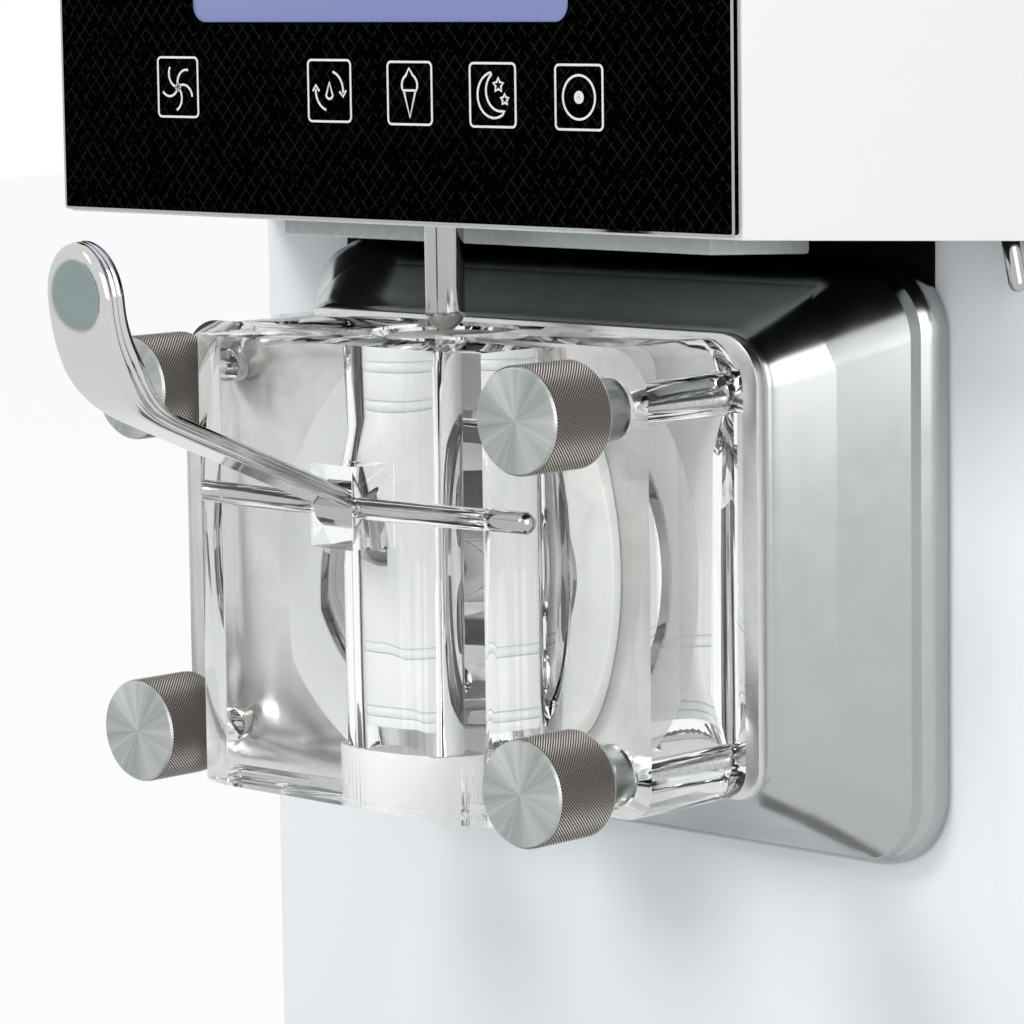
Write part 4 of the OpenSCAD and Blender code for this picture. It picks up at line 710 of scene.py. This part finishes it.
def control_hood():
    softened("hood_shell", 1.6 * MM, 3, HOOD_PAINT)
    softened("hood_underside", 0.5 * MM)
    softened("control_panel", 0.35 * MM)
    softened("lcd_screen", 0.3 * MM)
    softened("control_board", 0.3 * MM)
    softened("underside_cover", 1.2 * MM, 3, COVER)
    lip = 0.9
    outline = rounded_outline(
        (PANEL_LOW.x - HEAD.x) / MM - lip / 4, (PANEL_HIGH.x - HEAD.x) / MM + lip / 4,
        (PANEL_LOW.z - HEAD.z) / MM - lip / 4, (PANEL_HIGH.z - HEAD.z) / MM + lip / 4, 1.2, 1.2, 6)
    points, faces = stroke(outline, closed=True, width=lip * MM)
    piece("panel_lip", points, faces, MATERIALS["polished_steel"])
    icons = {"fan": fan_icon, "wash": wash_icon, "cone": cone_icon, "night": night_icon, "home": home_icon}
    for name, (x, z) in KEYS.items():
        points, faces = gather([key_frame(x, z)] + icons[name](x, z))
        piece("key_" + name, points, faces, INK, smooth=False)
    for sign, (name, (x, z)) in zip((1, -1), SIDE_KEYS.items()):
        points, faces = gather([key_frame(x, z)] + level_icon(x, z, sign))
        piece("key_" + name, points, faces, INK, smooth=False)


# ---- dispensing head
SHROUD_LOW, SHROUD_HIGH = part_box("shroud")
FRONT_HALF = 113.1
FRONT_Z = (-76.0, 82.9)
FRONT_R = 19.5
REAR_R = 26.0
REAR_Z = ((SHROUD_LOW.z - HEAD.z) / MM, (SHROUD_HIGH.z - HEAD.z) / MM)
REAR_HALF = (SHROUD_HIGH.x - SHROUD_LOW.x) / MM / 2
FRONT_Y = (SHROUD_LOW.y - HEAD.y) / MM
REAR_Y = (SHROUD_HIGH.y - HEAD.y) / MM
WALL = 1.5


def shroud_ring(share, y, inset):
    """One ring of the shroud's skin: share 0 at the door's end and 1 at the cabinet's."""
    def between(a, b):
        return a + (b - a) * share

    half = between(FRONT_HALF, REAR_HALF) - inset
    low, high = between(FRONT_Z[0], REAR_Z[0]) + inset, between(FRONT_Z[1], REAR_Z[1]) - inset
    r = between(FRONT_R, REAR_R) - inset
    return [place(x, y, z) for x, z in rounded_outline(-half, half, low, high, r, r, 14)]


def shroud():
    """A drawn steel skin: a rolled lip at the door, flat flaring sides and a rounded rim at the cabinet."""
    lip_r, rim_r, rim_flat = 3.4, 13.0, 2.0
    start, end = FRONT_Y + lip_r, REAR_Y - rim_flat
    rise = REAR_HALF - FRONT_HALF
    # the sides' slope, found by steps, at which they run straight into the rim's curve
    slope = math.radians(30)
    for _ in range(20):
        slope = math.atan2(rise - rim_r * (1 - math.cos(slope)), end - start - rim_r * math.sin(slope))
    steps = 8
    rings = []
    for i in range(steps + 1):
        a = math.radians(180 * i / steps)
        rings.append(shroud_ring(0, FRONT_Y + lip_r * (1 - math.sin(a)), lip_r * (1 + math.cos(a)) * 0.9))
    straight = end - start - rim_r * math.sin(slope)
    for i in range(1, steps + 1):
        y = straight * i / steps
        rings.append(shroud_ring(y * math.tan(slope) / rise, start + y, 0))
    for i in range(1, steps + 1):
        a = slope * (1 - i / steps)
        rings.append(shroud_ring(1 - rim_r * (1 - math.cos(a)) / rise, end - rim_r * math.sin(a), 0))
    rings.append(shroud_ring(1, REAR_Y, 0))
    inner = [shroud_ring(1, REAR_Y, WALL)]
    for i in range(steps + 1):
        t = 1 - i / steps
        inner.append(shroud_ring(t * 0.96, start + t * (end - rim_r - start), WALL + 1.0))
    points, faces = loft(rings + inner, cap_start=False, cap_end=False)
    count = len(rings[0])
    last = (len(rings) + len(inner) - 1) * count
    for i in range(count):
        j = (i + 1) % count
        faces.append((last + i, last + j, j, i))
    piece("shroud_skin", points, faces, DRAWN, replaces=("shroud",))


def knob(node_name):
    """A turned face, a barrel with a diamond knurl and a plain collar, about the knob's own axis."""
    low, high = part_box(node_name)
    centre = (low + high) / 2
    body = NODE_BODY[node_name]
    axis_at = Vector((centre.x, 0, centre.z))

    def at(r, angle, y):
        return axis_at + Vector((r * MM * math.cos(angle), HEAD.y + y * MM, r * MM * math.sin(angle)))

    columns = 2 * KNURLS
    points, faces = [], []
    start, end = KNOB_FACE_Y + KNOB_EDGE, KNOB_BACK_Y - KNOB_EDGE
    for j in range(KNURL_ROWS + 1):
        for i in range(columns):
            raised = (i + j) % 2 == 0 and 0 < j < KNURL_ROWS
            points.append(at(KNOB_R if raised else KNOB_R - KNURL_DEPTH, 2 * math.pi * i / columns,
                             start + (end - start) * j / KNURL_ROWS))
    for j in range(KNURL_ROWS):
        for i in range(columns):
            a, b = j * columns + i, j * columns + (i + 1) % columns
            c, d = a + columns, b + columns
            faces += [(a, b, d), (a, d, c)] if (i + j) % 2 else [(a, b, c), (b, d, c)]
    axis_origin = at(0, 0, KNOB_FACE_Y)
    piece(node_name + "_barrel", points, faces, KNURLED, body, smooth=False,
          origin=axis_origin)
    profile = [(0.01, KNOB_FACE_Y), (KNOB_R - KNOB_EDGE - 0.5, KNOB_FACE_Y),
               (KNOB_R - KNOB_EDGE, KNOB_FACE_Y + 0.15),
               (KNOB_R - 0.45, start), (KNOB_R - 0.9, start + 0.35), (KNOB_R - 0.9, end - 0.35),
               (KNOB_R - 0.45, end), (KNOB_R - KNOB_EDGE, KNOB_BACK_Y), (10.9, KNOB_BACK_Y),
               (10.3, KNOB_BACK_Y + 0.6), (10.3, 1.9), (9.8, 2.4), (4.6, 2.4)]
    steps = 128
    rings = [[at(r, 2 * math.pi * i / steps, y) for i in range(steps)] for r, y in profile]
    points, faces = loft(rings)
    piece(node_name + "_turned", points, faces, MATERIALS["turned_steel"], body,
          (node_name,), origin=axis_origin)


# Taken off the plunger's radius, so that its facets stay clear of the facets of its bore
PLUNGER_SLACK = 0.25 * MM


def slim(shown, node_name, slack):
    """Takes a little off an upright round piece's radius."""
    low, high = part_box(node_name)
    axis = (low + high) / 2
    share = 1 - 2 * slack / (high.x - low.x)
    for vertex in shown.data.vertices:
        vertex.co.x = axis.x + (vertex.co.x - axis.x) * share
        vertex.co.y = axis.y + (vertex.co.y - axis.y) * share


def dispensing_head():
    shroud()
    softened("flange_plate", 0.4 * MM)
    softened("rim_backing", 0.2 * MM)
    softened("dispensing_door", 0.7 * MM, 3, split_holed=True)
    softened("door_gasket", 0.8 * MM, 3)
    softened("outlet_seat", 0.4 * MM)
    slim(softened("plunger", 0.6 * MM), "plunger", PLUNGER_SLACK)
    softened("door_studs", 0.3 * MM)
    softened("front_bearing", 0.3 * MM)
    softened("switch_rod", 0.4 * MM)
    softened("freezing_cylinder", 0.4 * MM, material=MOUTH_PAINTED_LIGHT)
    softened("utensil_peg", 0.3 * MM)
    for node_name in ("knob_upper_left", "knob_upper_right", "knob_lower_left", "knob_lower_right"):
        knob(node_name)
    lever()
    lever_pin()


# ---- lever: its path lies in the upright plane through the slot
PIVOT = (-27.0, 25.0)
BAR_SLOPE = 22.5
BAR_LENGTH = 118.0
PADDLE_SLOPE = 84.0
PADDLE_LENGTH = 49.0
ELBOW_R = 48.0
BAR_WIDTH = 18.8
BAR_THICK = 6.0
ELBOW_THICK = 12.0
PADDLE_WIDTH = 29.0
PADDLE_THICK = 10.0
TIP_ROUND = 18.0
# The thumb hollow in the paddle's front: its middle above the elbow's end, half height, half width, depth
HOLLOW_AT = 4.0
HOLLOW_HALF = (12.6, 12.2)
HOLLOW_DEPTH = 1.5
# Stands for the distance past the elbow along the bar, where no hollow reaches
WELL_BELOW = -90.0


def towards(slope):
    return Vector((-math.cos(math.radians(slope)), math.sin(math.radians(slope))))


def underside(slope):
    return Vector((-math.sin(math.radians(slope)), -math.cos(math.radians(slope))))


def hollow_middle():
    """The middle of the thumb hollow's floor, in the world."""
    elbow = Vector(PIVOT) + BAR_LENGTH * towards(BAR_SLOPE)
    past = ELBOW_R * math.tan(math.radians((PADDLE_SLOPE - BAR_SLOPE) / 2)) + HOLLOW_AT
    at = elbow + past * towards(PADDLE_SLOPE) + underside(PADDLE_SLOPE) * (PADDLE_THICK / 2 - HOLLOW_DEPTH)
    return place(0, at.x, at.y)


def lever_half_width(z):
    """The lever widens with height from its bar to its paddle."""
    elbow_z = PIVOT[1] + BAR_LENGTH * math.sin(math.radians(BAR_SLOPE))
    low, high = elbow_z - ELBOW_THICK, elbow_z + PADDLE_LENGTH * 0.22
    t = min(1.0, max(0.0, (z - low) / (high - low)))
    return (BAR_WIDTH + (PADDLE_WIDTH - BAR_WIDTH) * t * t * (3 - 2 * t)) / 2


def lever_stations():
    """(point, slope, half width, half thickness, distance past the elbow) from the pivot to the tip."""
    pivot = Vector(PIVOT)
    elbow = pivot + BAR_LENGTH * towards(BAR_SLOPE)
    turn = PADDLE_SLOPE - BAR_SLOPE
    tangent = ELBOW_R * math.tan(math.radians(turn / 2))
    bend_start = elbow - tangent * towards(BAR_SLOPE)
    bend_centre = bend_start - ELBOW_R * underside(BAR_SLOPE)
    tip = elbow + PADDLE_LENGTH * towards(PADDLE_SLOPE)
    found = []
    for i in range(21):
        at = pivot.lerp(bend_start, i / 20)
        found.append((at, BAR_SLOPE, lever_half_width(at.y), BAR_THICK / 2, WELL_BELOW))
    steps = 24
    for i in range(1, steps + 1):
        t = i / steps
        slope = BAR_SLOPE + turn * t
        at = bend_centre + ELBOW_R * underside(slope)
        if t < 0.5:
            thick = BAR_THICK + (ELBOW_THICK - BAR_THICK) * math.sin(math.pi * t) ** 2
        else:
            thick = PADDLE_THICK + (ELBOW_THICK - PADDLE_THICK) * math.sin(math.pi * t) ** 2
        found.append((at, slope, lever_half_width(at.y), thick / 2, (t - 1) * math.radians(turn) * ELBOW_R))
    bend_end = found[-1][0]
    crown_start = tip - TIP_ROUND * towards(PADDLE_SLOPE)
    straight = (crown_start - bend_end).length
    found.append((crown_start, PADDLE_SLOPE, PADDLE_WIDTH / 2, PADDLE_THICK / 2, straight))
    for i in range(1, 25):
        a = math.radians(90 * i / 24 * 0.985)
        thin = PADDLE_THICK / 2 * (0.3 + 0.7 * math.cos(a) ** 0.5)
        found.append((crown_start + TIP_ROUND * math.sin(a) * towards(PADDLE_SLOPE), PADDLE_SLOPE,
                      PADDLE_WIDTH / 2 * math.cos(a), thin, straight + TIP_ROUND * math.sin(a)))
    return found


def lever():
    rings = []
    for point, slope, half_w, half_t, along in lever_stations():
        away = underside(slope)
        ring = []
        for x, n in lever_section(half_w, half_t):
            if n > half_t * 0.5:
                n -= hollow(x, along) * min(1.0, half_w / HOLLOW_HALF[1])
            at = point + away * n
            ring.append(place(x, at.x, at.y))
        rings.append(ring)
    points, faces = loft(rings)
    piece("lever_bar", points, faces, lever_steel_painted_hollow_reflection(), "lever", ("lever",))
    boss()


def hollow(x, along):
    """Depth of the thumb hollow at a place on the paddle's front."""
    reach = math.hypot(x / HOLLOW_HALF[1], (along - HOLLOW_AT) / HOLLOW_HALF[0])
    if reach >= 1:
        return 0.0
    return HOLLOW_DEPTH * min(1.0, (1 - reach) * 4.5) ** 0.6


def lever_section(half_w, half_t):
    """Points (across, out of the underside) round the lever: rounded edges, shallow ribs along its sides."""
    r = min(half_t * 0.62, half_w * 0.6)
    outline = rounded_outline(-half_w, half_w, -half_t, half_t, r, r, 9)
    full = []
    for i, (x, n) in enumerate(outline):
        x2, n2 = outline[(i + 1) % len(outline)]
        upright = abs(x - x2) < 1e-6 and abs(n2 - n) > 0.3
        level = abs(n - n2) < 1e-6 and abs(x2 - x) > 0.3
        parts = 10 if upright else 26 if level else 1
        for k in range(parts):
            xx, nn = x + (x2 - x) * k / parts, n + (n2 - n) * k / parts
            rib = 0.5 * (1 - math.cos(4 * math.pi * k / parts)) / 2 if upright else 0.0
            full.append((xx - math.copysign(rib, xx), nn))
    return full


ARM_LENGTH = 37.0
ARM_SWING = 20.0
ARM_W = 12.0
ARM_T = 5.0
ARM_TIP_R = 6.9
BOSS_R = 8.0


def round_pivot(x, r, steps):
    """A circle of points about the lever's pin."""
    turns = [2 * math.pi * i / steps for i in range(steps)]
    return [place(x, PIVOT[0] + r * math.cos(a), PIVOT[1] + r * math.sin(a)) for a in turns]


def boss():
    """The lever's hub on its pin, and the arm that works the plunger."""
    steps = 40
    half = BAR_WIDTH / 2
    edge = 0.8
    rings = []
    for x, r in ((-half, BOSS_R - edge), (-half + edge, BOSS_R), (half - edge, BOSS_R), (half, BOSS_R - edge)):
        rings.append(round_pivot(x, r, steps))
    hub = loft(rings)
    a = math.radians(-ARM_SWING)
    forward, upward = Vector((math.cos(a), math.sin(a))), Vector((-math.sin(a), math.cos(a)))
    outline = [(0, -ARM_T / 2), (ARM_LENGTH - ARM_TIP_R * 0.9, -ARM_T / 2)]
    outline += [(ARM_LENGTH + ARM_TIP_R * math.cos(math.radians(t)), ARM_TIP_R * math.sin(math.radians(t)))
                for t in range(-155, 156, 10)]
    outline += [(ARM_LENGTH - ARM_TIP_R * 0.9, ARM_T / 2), (0, ARM_T / 2)]
    rings = []
    for x in (-ARM_W / 2, ARM_W / 2):
        rings.append([place(x, *(Vector(PIVOT) + forward * u + upward * v)) for u, v in outline])
    arm = loft(rings)
    points, faces = gather([hub, arm])
    piece("lever_hub", points, faces, MATERIALS["polished_steel"], "lever")


PIN_R = 3.7
PIN_ENDS = (-67.7, 84.7)


def lever_pin():
    """The lever's pin, with a rounded end that stands out of the door."""
    r = PIN_R
    x0, x1 = PIN_ENDS
    profile = [(x0, r - 0.4), (x0 + 0.4, r), (x1 - r * 0.9, r)]
    profile += [(x1 - r * 0.9 + r * 0.9 * math.sin(math.radians(a)), r * math.cos(math.radians(a)) + 0.01)
                for a in range(12, 91, 13)]
    steps = 48
    rings = [round_pivot(x, q, steps) for x, q in profile]
    points, faces = loft(rings)
    piece("pin_round", points, faces, MATERIALS["polished_steel"], NODE_BODY["lever_pin"],
          ("lever_pin",))


# ---- cabinet and what stands on or in it
def cabinet():
    for node_name, width in (
        ("front_panel", 1.0), ("left_side_panel", 1.0), ("right_side_panel", 1.0), ("rear_panel", 1.0),
        ("top_panel", 1.0), ("levelling_feet", 0.8), ("panel_screws", 0.4), ("hopper", 0.6),
        ("hopper_lid", 1.2), ("drip_tray", 0.8), ("drip_grille", 0.5), ("tray_bracket", 0.6),
        ("rear_grille", 0.5), ("power_switch", 0.5), ("switch_housing", 0.5), ("cord_gland", 0.5),
    ):
        softened(node_name, width * MM)


# ---- floor, light and camera
FLOOR_HALF = 8.0
FLOOR_GLOW = 0.9
ROOM_LIGHT = 0.62


def stage():
    half = FLOOR_HALF
    mesh = bpy.data.meshes.new("floor")
    corners = [(-half, -half, 0), (half, -half, 0), (half, half, 0), (-half, half, 0)]
    mesh.from_pydata(corners, [], [(0, 1, 2, 3)])
    floor = bpy.data.objects.new("floor", mesh)
    bpy.context.scene.collection.objects.link(floor)
    mesh.materials.append(floor_material())
    light_room()
    lamp("key", (-0.5, -2.4, 1.85), 0.8, 26.0, (1.0, 0.98, 0.96))
    lamp("fill", (2.6, -0.9, 1.2), 2.0, 24.0, (1.0, 0.98, 0.98))
    lamp("back", (-0.6, 2.4, 2.2), 1.6, 14.0, (1.0, 1.0, 1.0))


def light_room():
    """A cool dim room, in front of a plain white background."""
    world = bpy.data.worlds.new("studio")
    bpy.context.scene.world = world
    world.use_nodes = True
    tree = world.node_tree
    tree.nodes.clear()
    tree.nodes.new("ShaderNodeOutputWorld")
    lit, shown = (node(tree, "ShaderNodeBackground") for _ in range(2))
    set_inputs(lit, Color=(0.93, 0.97, 1.0, 1), Strength=ROOM_LIGHT)
    set_inputs(shown, Color=(1, 1, 1, 1), Strength=1.0)
    show_mix(tree, seen_rays(tree), lit, shown)


def seen_rays(tree):
    """1 for camera, glossy and transmission rays, which see a plain white background."""
    return ray_is(tree, "Is Camera Ray", "Is Glossy Ray", "Is Transmission Ray")


def floor_material():
    """A pale floor that takes shadows and shows as white as the background to the rays that see it."""
    material, tree, shader = new_material("pale_floor")
    speck = noise(tree, coordinates(tree), 3.0)
    tone = ramp(tree, speck, (0.88, 0.88, 0.88, 1), (0.9, 0.9, 0.9, 1), 0.3, 0.7)
    tree.links.new(tone, shader.inputs["Base Color"])
    set_inputs(shader, Roughness=0.9, Specular_IOR_Level=0.1)
    white = node(tree, "ShaderNodeEmission")
    white.inputs["Color"].default_value = (1, 1, 1, 1)
    share = node(tree, "ShaderNodeMath", operation="MULTIPLY")
    share.inputs[1].default_value = FLOOR_GLOW
    tree.links.new(seen_rays(tree), share.inputs[0])
    show_mix(tree, share.outputs[0], shader, white)
    return material


def lamp(name, at, size, power, colour):
    data = bpy.data.lights.new(name, "AREA")
    data.size = size
    data.energy = power
    data.color = colour
    light = bpy.data.objects.new(name, data)
    bpy.context.scene.collection.objects.link(light)
    light.location = at
    aim = HEAD - Vector(at)
    light.rotation_euler = aim.to_track_quat("-Z", "Y").to_euler()


dress_nodes()
control_hood()
dispensing_head()
cabinet()
stage()
make_camera()
bpy.context.scene.view_settings.view_transform = "Standard"
